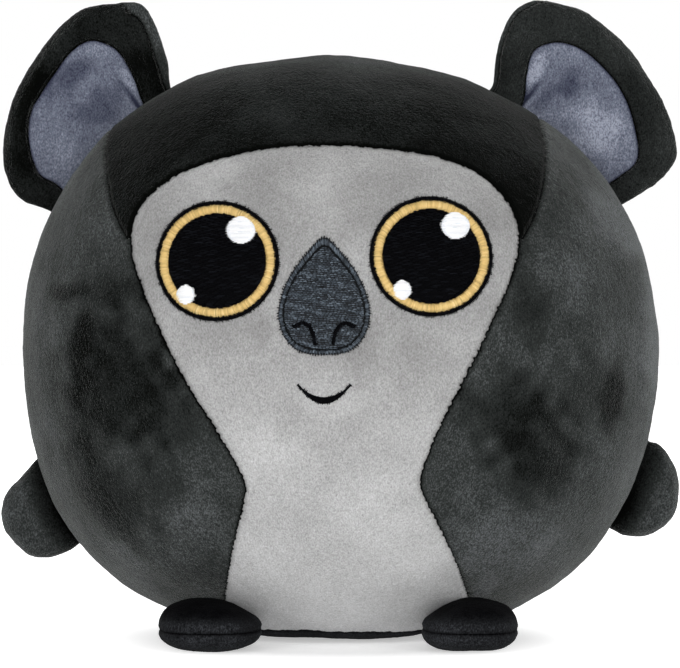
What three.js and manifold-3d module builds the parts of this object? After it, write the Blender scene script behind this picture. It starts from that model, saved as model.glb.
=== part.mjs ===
// Round plush koala: a stuffed body sewn from fabric panels, with ears, arms, feet and a stitched face.
// Millimetres, +Z up, the face looks along -Y, and the origin is on the floor under the middle of the body.
// Right and left are the toy's own, so its right side is at -X.
import * as THREE from "three";
import { mergeVertices } from "three/addons/utils/BufferGeometryUtils.js";
import Module from "manifold-3d";

const wasm = await Module();
wasm.setup();

// Fabric and sewing
const fabricThickness = 2;
const seamGap = 0.3;
const fillingGap = 0.5;
const floorPress = 0.5;
const threadHeight = 0.8;
const overrun = 40;

// Body: half sizes from its widest level, which stands bellyHeight above the floor
const bodyHalfWidth = 113;
const bodyHalfDepth = 101;
const crownHeight = 101.5;
const bellyHeight = 106;
const crownPower = 2.15;
const bellyPower = 2.5;
const crownLean = -6;
const crownLeanPower = 2.6;
const sideSeamY = 12;
const baseSeamZ = 3.6;

// Face and belly panel: half outline as shares of its half width and of its top's height above the floor
const faceHalfWidth = 66.8;
const faceRise = 67.5;
const faceTopZ = bellyHeight + faceRise;
const faceSway = -5.3;
const bellySway = 3;
const swayHeightShare = 0.55;
const facePanelShares = [
  [0, 1],
  [0.374, 0.991],
  [0.629, 0.964],
  [0.808, 0.931],
  [0.928, 0.89],
  [0.991, 0.847],
  [0.997, 0.795],
  [0.943, 0.726],
  [0.838, 0.64],
  [0.722, 0.55],
  [0.585, 0.457],
  [0.472, 0.366],
  [0.445, 0.331],
  [0.467, 0.297],
  [0.576, 0.179],
  [0.659, 0.035],
  [0.665, -0.1],
];

// Forehead panel: its side seams as shares of the same sizes, from the face panel's corner up to the ear
const foreheadSeamShares = [
  [1.018, 0.817],
  [1.064, 0.847],
  [1.105, 0.886],
  [1.136, 0.934],
  [1.156, 0.986],
  [1.156, 1.02],
  [1.144, 1.05],
];

// Stitched eyes, seen from the front, measured from the body's widest level
const eyeSpacing = 72.6;
const eyeRise = 28.4;
const eyeRollAngle = 1.3;
const eyeHalfWidth = 21.2;
const eyeHalfHeight = 20.6;
const eyeOutlineWidth = 1.4;
const eyeRingWidth = 3.1;
const glintHalfWidth = 5.1;
const glintHalfHeight = 4.7;
const glintPlaceShares = [0.385, 0.5];
const smallGlintRadius = 3.3;
const smallGlintPlaceShares = [-0.48, -0.565];

// Stitched nose: half outline as shares of its half width and of its height
const noseHalfWidth = 15.4;
const noseHeight = 39.6;
const noseTipRise = 35.5;
const noseBorderWidth = 1.6;
const noseTipInsetShare = 1.7;
const noseShares = [
  [0, 1],
  [0.42, 0.85],
  [0.714, 0.697],
  [0.922, 0.513],
  [1, 0.33],
  [0.844, 0.136],
  [0.52, 0.028],
  [0, 0],
];

// Stitched nostrils, their centre lines as shares of the nose's half width and height, and mouth
const nostrilWidth = 1.7;
const nostrilShares = [
  [0.195, 0.09],
  [0.234, 0.172],
  [0.338, 0.247],
  [0.48, 0.268],
  [0.656, 0.235],
];
const mouthHalfWidth = 8.8;
const mouthDepth = 5.2;
const mouthDrop = 14.2;
const mouthThickness = 2.2;
const mouthEndShare = 0.3;

// Ears: outlines as shares of the reach towards the crown and of the height above the seam
const earReach = 45;
const earHeight = 44.7;
const earSeatAngle = 43.6;
const earTiltAngle = 45.5;
const earSeatDepth = 5;
const earRootDepth = 12;
const earFrontThickness = 7;
const earBackThickness = 7;
const earCrownCurlDepth = 11;
const earLowerCurlDepth = 7;
const earBendAngle = 30;
const earCentreShares = [0.09, 0.34];
const rightEarOutlineShares = [
  [0.69, 0],
  [0.83, 0.21],
  [0.98, 0.52],
  [0.993, 0.655],
  [0.907, 0.776],
  [0.656, 0.969],
  [0.496, 1],
  [0.349, 1],
  [-0.004, 0.94],
  [-0.22, 0.87],
  [-0.433, 0.754],
  [-0.638, 0.591],
  [-0.733, 0.447],
  [-0.778, 0.309],
  [-0.776, 0.195],
  [-0.69, 0],
];
const leftEarOutlineShares = [
  [0.72, 0],
  [0.887, 0.217],
  [1.016, 0.521],
  [0.984, 0.687],
  [0.916, 0.779],
  [0.642, 0.96],
  [0.493, 0.991],
  [0.113, 1.007],
  [-0.262, 0.911],
  [-0.518, 0.812],
  [-0.642, 0.732],
  [-0.742, 0.615],
  [-0.758, 0.358],
  [-0.733, 0.199],
  [-0.68, 0],
];
const rightEarLiningShares = [
  [0.436, 0.06],
  [0.524, 0.268],
  [0.591, 0.499],
  [0.58, 0.602],
  [0.516, 0.72],
  [0.447, 0.765],
  [0.316, 0.783],
  [0.107, 0.752],
  [-0.082, 0.711],
  [-0.229, 0.664],
  [-0.393, 0.53],
  [-0.511, 0.329],
  [-0.527, 0.233],
  [-0.487, 0.1],
];
const leftEarLiningShares = [
  [0.44, 0.06],
  [0.584, 0.266],
  [0.658, 0.387],
  [0.673, 0.472],
  [0.622, 0.593],
  [0.524, 0.678],
  [0.393, 0.729],
  [0.182, 0.743],
  [0.018, 0.725],
  [-0.147, 0.671],
  [-0.3, 0.586],
  [-0.469, 0.459],
  [-0.513, 0.378],
  [-0.5, 0.217],
  [-0.482, 0.1],
];
// Rings from the rim to the middle: shares of the outline and of the thickness, hollow in front
const earFrontShares = [
  [0.95, 0.55],
  [0.82, 1],
  [0.6, 0.62],
  [0, 0.4],
];
const earBackShares = [
  [0.93, 0.6],
  [0.6, 0.95],
  [0, 1],
];

// Arms: outlines as shares of the half length along the seam and of the reach from the body
const armHalfLength = 18;
const armHalfThickness = 11;
const armRootDepth = 8;
const armBendAngle = 25;
const rightArmReach = 21.8;
const leftArmReach = 19;
const rightArmSeatAngle = -31.2;
const leftArmSeatAngle = -27.7;
const armCentreShares = [0, 0.35];
const rightArmOutlineShares = [
  [0.93, -0.07],
  [0.84, 0.165],
  [0.755, 0.404],
  [0.67, 0.615],
  [0.533, 0.794],
  [0.339, 0.927],
  [0.094, 1],
  [-0.139, 0.995],
  [-0.417, 0.94],
  [-0.65, 0.862],
  [-0.856, 0.674],
  [-0.956, 0.482],
  [-0.983, 0.206],
  [-0.967, -0.046],
];
const leftArmOutlineShares = [
  [0.961, -0.03],
  [0.978, 0.1],
  [0.906, 0.321],
  [0.789, 0.484],
  [0.639, 0.668],
  [0.411, 0.826],
  [0.139, 0.947],
  [-0.117, 1],
  [-0.356, 0.979],
  [-0.6, 0.889],
  [-0.806, 0.721],
  [-0.939, 0.521],
  [-1.006, 0.279],
  [-1, -0.037],
];
const armShares = [
  [0.92, 0.5],
  [0.66, 0.83],
  [0, 1],
];

// Feet: flat ovals on the floor, lower towards each other, with their backs tucked under the belly
const rightFootHalfWidth = 17.8;
const leftFootHalfWidth = 16.4;
const footHalfDepth = 27;
const footTopHeight = 10.3;
const footSoleDepth = 7.4;
const footInnerHeightShare = 0.62;
const footSideShare = 0.396;
const footBackShare = 0.367;
const footPower = 2.5;

// Fineness of the round forms
const bodyDetail = 6;
const fillingDetail = 3;
const limbDetail = 2;
const limbFillingDetail = 1;
const limbFacetAngle = 11.5;
const panelSteps = 36;
const stitchSteps = 32;
const smallSteps = 12;
const earSteps = 18;
const armSteps = 16;
const weldShare = 1e-6;

const sides = [
  {
    name: "right",
    sign: -1,
    earOutlineShares: rightEarOutlineShares,
    earLiningShares: rightEarLiningShares,
    armOutlineShares: rightArmOutlineShares,
    armReach: rightArmReach,
    armSeatAngle: rightArmSeatAngle,
    footHalfWidth: rightFootHalfWidth,
  },
  {
    name: "left",
    sign: 1,
    earOutlineShares: leftEarOutlineShares,
    earLiningShares: leftEarLiningShares,
    armOutlineShares: leftArmOutlineShares,
    armReach: leftArmReach,
    armSeatAngle: leftArmSeatAngle,
    footHalfWidth: leftFootHalfWidth,
  },
];

// Solids and geometry
function toSolid(geometry, frame = new THREE.Matrix4()) {
  const bare = geometry.clone();
  bare.deleteAttribute("normal");
  bare.deleteAttribute("uv");
  const merged = mergeVertices(bare, bodyHalfWidth * weldShare).applyMatrix4(frame);
  const corners = new Uint32Array(merged.index.array);
  if (frame.determinant() < 0) {
    turnFaces(corners);
  }
  return new wasm.Manifold(new wasm.Mesh({
    numProp: 3,
    vertProperties: new Float32Array(merged.attributes.position.array),
    triVerts: corners,
  }));
}

// A mirroring frame turns the faces inside out, so their corners are then listed the other way round
function turnFaces(corners) {
  for (let first = 0; first < corners.length; first += 3) {
    [corners[first], corners[first + 1]] = [corners[first + 1], corners[first]];
  }
}

function toGeometry(solid) {
  const { numProp, vertProperties, triVerts } = solid.getMesh();
  const geometry = new THREE.BufferGeometry();
  const points = new THREE.InterleavedBuffer(vertProperties, numProp);
  geometry.setAttribute("position", new THREE.InterleavedBufferAttribute(points, 3, 0));
  geometry.setIndex(new THREE.BufferAttribute(triVerts, 1));
  return geometry;
}

function meshFromPoints(points, triangles) {
  const geometry = new THREE.BufferGeometry().setFromPoints(points);
  geometry.setIndex(triangles.flat());
  return geometry;
}

// Unit ball whose corners are merged before they are moved, so that it stays closed
function ball(detail) {
  const geometry = new THREE.IcosahedronGeometry(1, detail);
  geometry.deleteAttribute("normal");
  geometry.deleteAttribute("uv");
  return mergeVertices(geometry, weldShare);
}

function moved(geometry, move) {
  const { position } = geometry.attributes;
  const point = new THREE.Vector3();
  for (let corner = 0; corner < position.count; corner += 1) {
    point.fromBufferAttribute(position, corner);
    const { x, y, z } = move(point);
    position.setXYZ(corner, x, y, z);
  }
  return geometry;
}

function box(low, high) {
  const size = high.clone().sub(low);
  const middle = high.clone().add(low).multiplyScalar(0.5);
  return toSolid(new THREE.BoxGeometry(size.x, size.y, size.z).translate(middle.x, middle.y, middle.z));
}

// A prism along Y over an outline in the X and Z of the front view
function frontPrism(outline, frontY, backY) {
  const geometry = new THREE.ExtrudeGeometry(new THREE.Shape(outline), {
    depth: backY - frontY,
    bevelEnabled: false,
  });
  geometry.rotateX(Math.PI / 2);
  geometry.translate(0, backY, 0);
  return toSolid(geometry);
}

// Outlines
function smoothLoop(points, steps) {
  const loop = new THREE.CatmullRomCurve3(points.map(({ x, y }) => new THREE.Vector3(x, y, 0)), true);
  return loop.getSpacedPoints(steps).slice(0, -1).map(({ x, y }) => new THREE.Vector2(x, y));
}

function smoothLine(points, steps) {
  return new THREE.SplineCurve(points).getSpacedPoints(steps);
}

function ellipse(centre, halfWidth, halfHeight, steps) {
  return new THREE.EllipseCurve(centre.x, centre.y, halfWidth, halfHeight).getPoints(steps).slice(0, -1);
}

// The outline moved outwards by a distance, or inwards by a negative one
function grown(outline, distance) {
  const turn = Math.sign(THREE.ShapeUtils.area(outline));
  return outline.map((point, index) => {
    const before = outline.at(index - 1);
    const after = outline[(index + 1) % outline.length];
    const arriving = point.clone().sub(before).normalize();
    const leaving = after.clone().sub(point).normalize();
    const along = arriving.clone().add(leaving).normalize();
    const outward = new THREE.Vector2(along.y, -along.x).multiplyScalar(turn * distance);
    return point.clone().addScaledVector(outward, 1 / along.dot(leaving));
  });
}

function mirrored(halfOutline) {
  const inner = halfOutline.filter(({ x }) => x > 0);
  const otherSide = inner.map(({ x, y }) => new THREE.Vector2(-x, y)).reverse();
  return [...halfOutline, ...otherSide];
}

// A band of changing width along a line, with its ends closed by the last points
function band(line, halfWidthAt) {
  const rims = [1, -1].map((rim) => line.map((point, index) => {
    const before = line[Math.max(index - 1, 0)];
    const after = line[Math.min(index + 1, line.length - 1)];
    const along = after.clone().sub(before).normalize();
    const halfWidth = halfWidthAt(index / (line.length - 1));
    return new THREE.Vector2(point.x - along.y * rim * halfWidth, point.y + along.x * rim * halfWidth);
  }));
  return [...rims[0], ...rims[1].reverse()];
}

// Body
function bodyPoint(direction, grow = 0) {
  const upper = direction.z >= 0;
  const power = upper ? crownPower : bellyPower;
  const halfHeight = upper ? crownHeight : bellyHeight + floorPress;
  const across = Math.hypot(direction.x, direction.y);
  const reach = (across ** power + Math.abs(direction.z) ** power) ** (-1 / power);
  const rise = direction.z * reach;
  const lean = upper ? crownLean * rise ** crownLeanPower : 0;
  return new THREE.Vector3(
    direction.x * reach * (bodyHalfWidth + grow) + lean,
    direction.y * reach * (bodyHalfDepth + grow),
    bellyHeight + rise * (halfHeight + grow),
  );
}

function bodyGeometry(grow, detail = bodyDetail) {
  return moved(ball(detail), (point) => bodyPoint(point, grow));
}

function bodySolid(grow, detail) {
  return toSolid(bodyGeometry(grow, detail));
}

const bodyFrontY = -(bodyHalfDepth + overrun);
const bodyBackY = bodyHalfDepth + overrun;
const bodyTopZ = bellyHeight + crownHeight + overrun;
const bodySideX = bodyHalfWidth + overrun;

function slab(lowX, highX, lowY, highY) {
  return box(new THREE.Vector3(lowX, lowY, -overrun), new THREE.Vector3(highX, highY, bodyTopZ));
}

function layer(lowZ, highZ) {
  const low = new THREE.Vector3(-bodySideX, bodyFrontY, lowZ);
  return box(low, new THREE.Vector3(bodySideX, bodyBackY, highZ));
}

const floorBlock = layer(-overrun, 0);

// The toy is a little twisted: low features sit to one side of the middle and high ones to the other
function sway(height) {
  const twist = THREE.MathUtils.smoothstep(height, 0, faceTopZ * swayHeightShare);
  return THREE.MathUtils.lerp(bellySway, faceSway, twist);
}

function swayed(outline) {
  return outline.map(({ x, y }) => new THREE.Vector2(x + sway(y), y));
}

function fromShares(shares, width, height) {
  return shares.map(([across, up]) => new THREE.Vector2(across * width, up * height));
}

function faceOutline() {
  const half = fromShares(facePanelShares, faceHalfWidth, faceTopZ);
  return swayed(smoothLoop(mirrored(half), panelSteps));
}

function foreheadOutline() {
  const seam = smoothLine(fromShares(foreheadSeamShares, faceHalfWidth, faceTopZ), smallSteps);
  const top = new THREE.Vector2(seam.at(-1).x, bodyTopZ);
  return swayed(mirrored([...seam, top]));
}

function bodyPieces() {
  const halfGap = seamGap / 2;
  const whole = bodySolid(0).subtract(bodySolid(-fabricThickness, fillingDetail)).subtract(floorBlock);
  const skin = whole.intersect(layer(baseSeamZ + halfGap, bodyTopZ));
  const front = skin.intersect(slab(-bodySideX, bodySideX, bodyFrontY, sideSeamY - halfGap));
  const back = skin.intersect(slab(-bodySideX, bodySideX, sideSeamY + halfGap, bodyBackY));
  const face = faceOutline();
  const forehead = foreheadOutline();
  const faceCut = frontPrism(grown(face, seamGap), bodyFrontY, bodyBackY);
  const foreheadCut = frontPrism(grown(forehead, seamGap), bodyFrontY, bodyBackY);
  const flanks = front.subtract(faceCut).subtract(foreheadCut);
  const pieces = {
    body_stuffing: bodySolid(-fabricThickness - fillingGap, fillingDetail),
    base_panel: whole.intersect(layer(0, baseSeamZ - halfGap)),
    face_belly_panel: front.intersect(frontPrism(face, bodyFrontY, bodyBackY)),
    forehead_panel: front.intersect(frontPrism(forehead, bodyFrontY, bodyBackY)).subtract(faceCut),
  };
  for (const { name, sign } of sides) {
    const [lowX, highX] = sign < 0 ? [-bodySideX, 0] : [0, bodySideX];
    pieces[`side_panel_${name}`] = flanks.intersect(slab(lowX, highX, bodyFrontY, bodyBackY));
    const backHalf = slab(lowX + (sign > 0 ? halfGap : 0), highX - (sign < 0 ? halfGap : 0), 0, bodyBackY);
    pieces[`back_panel_${name}`] = back.intersect(backHalf);
  }
  return pieces;
}

// Stitched face: patches of thread that follow the body's curve, one gap above the fabric
const threadLayer = bodySolid(seamGap + threadHeight).subtract(bodySolid(seamGap));

function threadPrism(outline) {
  return frontPrism(outline, bodyFrontY, 0);
}

function stitched(prism) {
  return threadLayer.intersect(prism);
}

function eyePieces({ name, sign }) {
  const roll = THREE.MathUtils.degToRad(eyeRollAngle);
  const spread = sign * eyeSpacing / 2;
  const centre = new THREE.Vector2(faceSway + spread, bellyHeight + eyeRise + spread * Math.tan(roll));
  const oval = (inset) => threadPrism(
    ellipse(centre, eyeHalfWidth - inset, eyeHalfHeight - inset, stitchSteps),
  );
  const ringInset = eyeOutlineWidth + seamGap;
  const pupilInset = ringInset + eyeRingWidth + seamGap;
  const at = ([across, up]) => new THREE.Vector2(
    centre.x + across * eyeHalfWidth,
    centre.y + up * eyeHalfHeight,
  );
  const glint = ellipse(at(glintPlaceShares), glintHalfWidth, glintHalfHeight, smallSteps);
  const smallGlint = ellipse(at(smallGlintPlaceShares), smallGlintRadius, smallGlintRadius, smallSteps);
  const glintCut = threadPrism(grown(glint, seamGap)).add(threadPrism(grown(smallGlint, seamGap)));
  const ring = oval(ringInset).subtract(oval(ringInset + eyeRingWidth));
  return {
    [`eye_outline_${name}`]: stitched(oval(0).subtract(oval(eyeOutlineWidth))),
    [`eye_ring_${name}`]: stitched(ring.subtract(glintCut)),
    [`pupil_${name}`]: stitched(oval(pupilInset).subtract(glintCut)),
    [`glint_${name}`]: stitched(threadPrism(glint)),
    [`small_glint_${name}`]: stitched(threadPrism(smallGlint)),
  };
}

// The tip is sharp, so an inset lowers it by more than it draws in the sides
function nosePrism(inset) {
  const height = noseHeight - inset * (1 + noseTipInsetShare);
  const half = fromShares(noseShares, noseHalfWidth - inset, height);
  const foot = new THREE.Vector2(faceSway, bellyHeight + noseTipRise - noseHeight + inset);
  return threadPrism(smoothLoop(mirrored(half), stitchSteps).map((point) => point.add(foot)));
}

function nosePieces() {
  const foot = new THREE.Vector2(faceSway, bellyHeight + noseTipRise - noseHeight);
  const pieces = { nose_border: stitched(nosePrism(0).subtract(nosePrism(noseBorderWidth))) };
  let fill = nosePrism(noseBorderWidth + seamGap);
  for (const { name, sign } of sides) {
    const centreLine = fromShares(nostrilShares, sign * noseHalfWidth, noseHeight);
    const line = smoothLine(centreLine.map((point) => point.add(foot)), smallSteps);
    const nostril = band(line, () => nostrilWidth / 2);
    pieces[`nostril_${name}`] = stitched(threadPrism(nostril));
    fill = fill.subtract(threadPrism(grown(nostril, seamGap)));
  }
  pieces.nose_fill = stitched(fill);
  return pieces;
}

function mouthPiece() {
  const cornerZ = bellyHeight - mouthDrop;
  const line = new THREE.QuadraticBezierCurve(
    new THREE.Vector2(faceSway - mouthHalfWidth, cornerZ),
    new THREE.Vector2(faceSway, cornerZ - 2 * mouthDepth),
    new THREE.Vector2(faceSway + mouthHalfWidth, cornerZ),
  ).getSpacedPoints(smallSteps);
  const halfThickness = (share) => mouthThickness / 2 * Math.max(Math.sin(Math.PI * share), mouthEndShare);
  return { mouth: stitched(threadPrism(band(line, halfThickness))) };
}

// Limbs: each has its own frame, with X along its seam, Y outwards and Z to the front
function limbFrame(seatAngle, tilt, sign, sink) {
  const seat = THREE.MathUtils.degToRad(seatAngle);
  const lean = THREE.MathUtils.degToRad(tilt);
  const origin = bodyPoint(new THREE.Vector3(sign * Math.cos(seat), 0, Math.sin(seat)));
  origin.y = sideSeamY;
  const outward = new THREE.Vector3(sign * Math.cos(lean), 0, Math.sin(lean));
  const along = new THREE.Vector3(-sign * Math.sin(lean), 0, Math.cos(lean));
  const forward = new THREE.Vector3(0, -1, 0);
  origin.addScaledVector(outward, -sink);
  return new THREE.Matrix4().makeBasis(along, outward, forward).setPosition(origin);
}

// Room for the body while the limb bends both ways about the line through its seam
function bodySweep(frame, hingeHeight, bend) {
  const along = new THREE.Vector3().setFromMatrixColumn(frame, 0);
  const hinge = new THREE.Vector3(0, hingeHeight, 0).applyMatrix4(frame);
  let sweep = bodySolid(seamGap);
  for (const share of [-1, 1]) {
    const turn = new THREE.Matrix4().makeTranslation(hinge)
      .multiply(new THREE.Matrix4().makeRotationAxis(along, THREE.MathUtils.degToRad(share * bend)))
      .multiply(new THREE.Matrix4().makeTranslation(hinge.clone().negate()));
    sweep = sweep.add(toSolid(bodyGeometry(seamGap).applyMatrix4(turn)));
  }
  return sweep;
}

// A padded leaf: rings from its rim to its middle, in front and behind, on a sheet that may be curled
function padForm({ outline, middle, curl, faces }, inset) {
  const outerRim = grown(outline, -inset);
  const points = [];
  const triangles = [];
  const addRing = (share, height) => {
    const start = points.length;
    for (const rim of outerRim) {
      const flat = middle.clone().lerp(rim, share);
      points.push(new THREE.Vector3(flat.x, flat.y, curl(flat.x) + height));
    }
    return start;
  };
  const joinRings = (outer, inner, flip) => {
    for (let step = 0; step < outline.length; step += 1) {
      const next = (step + 1) % outline.length;
      const square = [outer + step, outer + next, inner + next, inner + step];
      const [a, b, c, d] = flip ? square.reverse() : square;
      triangles.push([a, b, c], [a, c, d]);
    }
  };
  const closeRing = (outer, height, flip) => {
    const centre = points.push(new THREE.Vector3(middle.x, middle.y, curl(middle.x) + height)) - 1;
    for (let step = 0; step < outline.length; step += 1) {
      const next = (step + 1) % outline.length;
      triangles.push(flip ? [outer + next, outer + step, centre] : [outer + step, outer + next, centre]);
    }
  };
  const rimShare = 1;
  const rim = addRing(rimShare, 0);
  for (const { face, thickness, shares } of faces) {
    let outer = rim;
    for (const [outlineShare, thicknessShare] of shares) {
      const height = face * (thicknessShare * thickness - inset);
      if (outlineShare === 0) {
        closeRing(outer, height, face < 0);
      } else {
        const inner = addRing(outlineShare, height);
        joinRings(outer, inner, face < 0);
        outer = inner;
      }
    }
  }
  return meshFromPoints(points, triangles);
}

// The visible outline with a root that runs down into the body
function rootedOutline(visible, rootDepth) {
  const root = [visible.at(-1), visible[0]].map(({ x }) => new THREE.Vector2(x, -rootDepth));
  return [...visible, ...root];
}

// Ears
function earCurl(along) {
  const share = Math.abs(along) / earReach;
  return along > 0 ? earCrownCurlDepth * share ** 3 : earLowerCurlDepth * share ** 2;
}

function earShape({ earOutlineShares }) {
  const visible = fromShares(earOutlineShares, earReach, earHeight);
  const [middle] = fromShares([earCentreShares], earReach, earHeight);
  return {
    outline: smoothLoop(rootedOutline(visible, earRootDepth), earSteps),
    middle,
    curl: earCurl,
    faces: [
      { face: 1, thickness: earFrontThickness, shares: earFrontShares },
      { face: -1, thickness: earBackThickness, shares: earBackShares },
    ],
  };
}

// Everything in front of the curled sheet on which the ear's rim seam lies
function earFrontHalf(shift) {
  const reach = earReach + overrun;
  const sheet = [];
  for (let step = 0; step <= smallSteps; step += 1) {
    const along = THREE.MathUtils.lerp(-earReach, earReach, step / smallSteps);
    sheet.push(new THREE.Vector2(along, earCurl(along) + shift));
  }
  const outline = [
    new THREE.Vector2(-reach, sheet[0].y),
    ...sheet,
    new THREE.Vector2(reach, sheet.at(-1).y),
    new THREE.Vector2(reach, reach),
    new THREE.Vector2(-reach, reach),
  ];
  const geometry = new THREE.ExtrudeGeometry(new THREE.Shape(outline), {
    depth: earHeight + earRootDepth + 2 * overrun,
    bevelEnabled: false,
  });
  return geometry.rotateX(Math.PI / 2).translate(0, earHeight + overrun, 0);
}

function earLiningBlock({ earLiningShares }, grow) {
  const visible = fromShares(earLiningShares, earReach, earHeight);
  const outline = grown(smoothLoop(rootedOutline(visible, earRootDepth + overrun), stitchSteps), grow);
  const geometry = new THREE.ExtrudeGeometry(new THREE.Shape(outline), {
    depth: overrun,
    bevelEnabled: false,
  });
  return geometry.translate(0, 0, -overrun / 2);
}

function earPieces(side) {
  const { name, sign } = side;
  const frame = limbFrame(earSeatAngle, earTiltAngle, sign, earSeatDepth);
  const room = bodySweep(frame, earSeatDepth / 2, earBendAngle);
  const put = (geometry) => toSolid(geometry, frame);
  const form = (inset) => put(padForm(earShape(side), inset));
  const skin = form(0).subtract(form(fabricThickness)).subtract(room);
  const front = skin.intersect(put(earFrontHalf(seamGap / 2)));
  return {
    [`ear_back_${name}`]: skin.subtract(put(earFrontHalf(-seamGap / 2))),
    [`ear_rim_${name}`]: front.subtract(put(earLiningBlock(side, seamGap))),
    [`ear_lining_${name}`]: front.intersect(put(earLiningBlock(side, 0))),
    [`ear_stuffing_${name}`]: form(fabricThickness + fillingGap).subtract(room),
  };
}

// Arms
function armShape({ armOutlineShares, armReach }) {
  const visible = fromShares(armOutlineShares, armHalfLength, armReach);
  const [middle] = fromShares([armCentreShares], armHalfLength, armReach);
  return {
    outline: smoothLoop(rootedOutline(visible, armRootDepth), armSteps),
    middle,
    curl: () => 0,
    faces: [1, -1].map((face) => ({ face, thickness: armHalfThickness, shares: armShares })),
  };
}

function armPieces(side) {
  const { name, sign, armSeatAngle } = side;
  const frame = limbFrame(armSeatAngle, armSeatAngle, sign, 0);
  const room = bodySweep(frame, 0, armBendAngle);
  const form = (inset) => toSolid(padForm(armShape(side), inset), frame);
  const skin = form(0).subtract(form(fabricThickness)).subtract(room);
  const halfGap = seamGap / 2;
  return {
    [`arm_front_${name}`]: skin.intersect(slab(-bodySideX, bodySideX, bodyFrontY, sideSeamY - halfGap)),
    [`arm_back_${name}`]: skin.intersect(slab(-bodySideX, bodySideX, sideSeamY + halfGap, bodyBackY)),
    [`arm_stuffing_${name}`]: form(fabricThickness + fillingGap).subtract(room),
  };
}

// Feet: the ball is turned a little, so that no cut along the seam runs through its corners
function footGeometry({ sign, footHalfWidth }, inset, detail) {
  const turn = THREE.MathUtils.degToRad(limbFacetAngle);
  const turned = ball(detail).rotateX(turn).rotateY(turn);
  return moved(turned, (point) => {
    const parts = [point.x, point.y, point.z].map((part) => Math.abs(part) ** footPower);
    const reach = (parts[0] + parts[1] + parts[2]) ** (-1 / footPower);
    const { x, y, z } = point.multiplyScalar(reach);
    const inner = THREE.MathUtils.smoothstep(-sign * x, 0, 1);
    const topHeight = footTopHeight * THREE.MathUtils.lerp(1, footInnerHeightShare, inner);
    const height = z > 0 ? topHeight : footSoleDepth;
    return new THREE.Vector3(x * (footHalfWidth - inset), y * (footHalfDepth - inset), z * (height - inset));
  });
}

function footPieces(side) {
  const { name, sign } = side;
  const footX = sign * footSideShare * bodyHalfWidth;
  const footY = -(footBackShare * bodyHalfDepth + footHalfDepth);
  const seamZ = footSoleDepth - floorPress;
  const taken = bodySolid(seamGap).add(floorBlock);
  const form = (inset, detail = limbFillingDetail) => {
    return toSolid(footGeometry(side, inset, detail).translate(footX, footY, seamZ));
  };
  const skin = form(0, limbDetail).subtract(form(fabricThickness)).subtract(taken);
  const halfGap = seamGap / 2;
  return {
    [`foot_top_${name}`]: skin.intersect(layer(seamZ + halfGap, bodyTopZ)),
    [`foot_sole_${name}`]: skin.intersect(layer(-overrun, seamZ - halfGap)),
    [`foot_stuffing_${name}`]: form(fabricThickness + fillingGap).subtract(taken),
  };
}

// Materials
const clothRoughness = 0.95;
const threadRoughness = 0.6;

function cloth(colour) {
  return new THREE.MeshStandardMaterial({ color: colour, roughness: clothRoughness, metalness: 0 });
}

function thread(colour) {
  return new THREE.MeshStandardMaterial({ color: colour, roughness: threadRoughness, metalness: 0 });
}

const charcoalPlush = cloth("#2f312f");
const blackPlush = cloth("#191a1c");
const greyPlush = cloth("#a9a9aa");
const blueGreyPlush = cloth("#7f8496");
const fibreFilling = cloth("#f1efe9");
const blackThread = thread("#0d0e10");
const goldThread = thread("#e0bc75");
const whiteThread = thread("#fbfbfb");
const slateThread = thread("#3e454b");

const materialsByName = [
  ["stuffing", fibreFilling],
  ["face_belly", greyPlush],
  ["ear_lining", blueGreyPlush],
  ["foot_", blackPlush],
  ["base_", blackPlush],
  ["eye_ring", goldThread],
  ["glint", whiteThread],
  ["nose", slateThread],
  ["eye_outline", blackThread],
  ["pupil", blackThread],
  ["nostril", blackThread],
  ["mouth", blackThread],
];

function materialFor(name) {
  const match = materialsByName.find(([words]) => name.includes(words));
  return match ? match[1] : charcoalPlush;
}

// Assembly
const pieces = {
  ...bodyPieces(),
  ...nosePieces(),
  ...mouthPiece(),
};
for (const side of sides) {
  Object.assign(pieces, eyePieces(side), earPieces(side), armPieces(side), footPieces(side));
}

const koala = new THREE.Group();
for (const [name, solid] of Object.entries(pieces)) {
  const mesh = new THREE.Mesh(toGeometry(solid), materialFor(name));
  mesh.name = name;
  koala.add(mesh);
}

export default koala;
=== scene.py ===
# Round plush koala: short-pile plush panels with sewn seams, padded ears, arms and feet,
# and a face stitched in thread.
# Sizes are in millimetres and become metres where a mesh is made.
# +Z is up, and the face looks along -Y.
# Right and left are the toy's own, so its right side is at -X.
import math

import bpy
import numpy as np
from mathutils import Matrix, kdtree

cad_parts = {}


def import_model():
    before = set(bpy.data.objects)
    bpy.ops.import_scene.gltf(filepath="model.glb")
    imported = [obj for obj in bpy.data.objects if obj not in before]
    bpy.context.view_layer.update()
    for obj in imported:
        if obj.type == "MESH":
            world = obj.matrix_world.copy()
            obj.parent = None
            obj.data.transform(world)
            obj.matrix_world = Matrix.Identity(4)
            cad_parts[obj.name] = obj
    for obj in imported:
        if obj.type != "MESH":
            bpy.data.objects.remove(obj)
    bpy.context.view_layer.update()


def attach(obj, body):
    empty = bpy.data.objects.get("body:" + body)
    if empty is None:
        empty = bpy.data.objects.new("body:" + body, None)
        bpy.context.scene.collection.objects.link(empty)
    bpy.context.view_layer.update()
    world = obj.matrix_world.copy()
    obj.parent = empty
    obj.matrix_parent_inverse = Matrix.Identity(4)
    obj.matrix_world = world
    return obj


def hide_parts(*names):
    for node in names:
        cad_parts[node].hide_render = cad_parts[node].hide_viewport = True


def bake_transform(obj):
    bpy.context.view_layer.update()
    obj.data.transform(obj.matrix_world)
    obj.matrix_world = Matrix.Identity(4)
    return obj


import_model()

METRES = 0.001
random = np.random.default_rng(11)
seeds = {"lumps": 3, "puckers": 5, "seams": 8, "filling": 9, "smudges": 21, "stroke_edges": 22}
ripple_waves = 28
ripple_spread = (0.7, 1.4)
curve_span_steps = 24
chunk = 4096
neighbour_share = 1.1
smallest_ring = 1e-9
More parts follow.
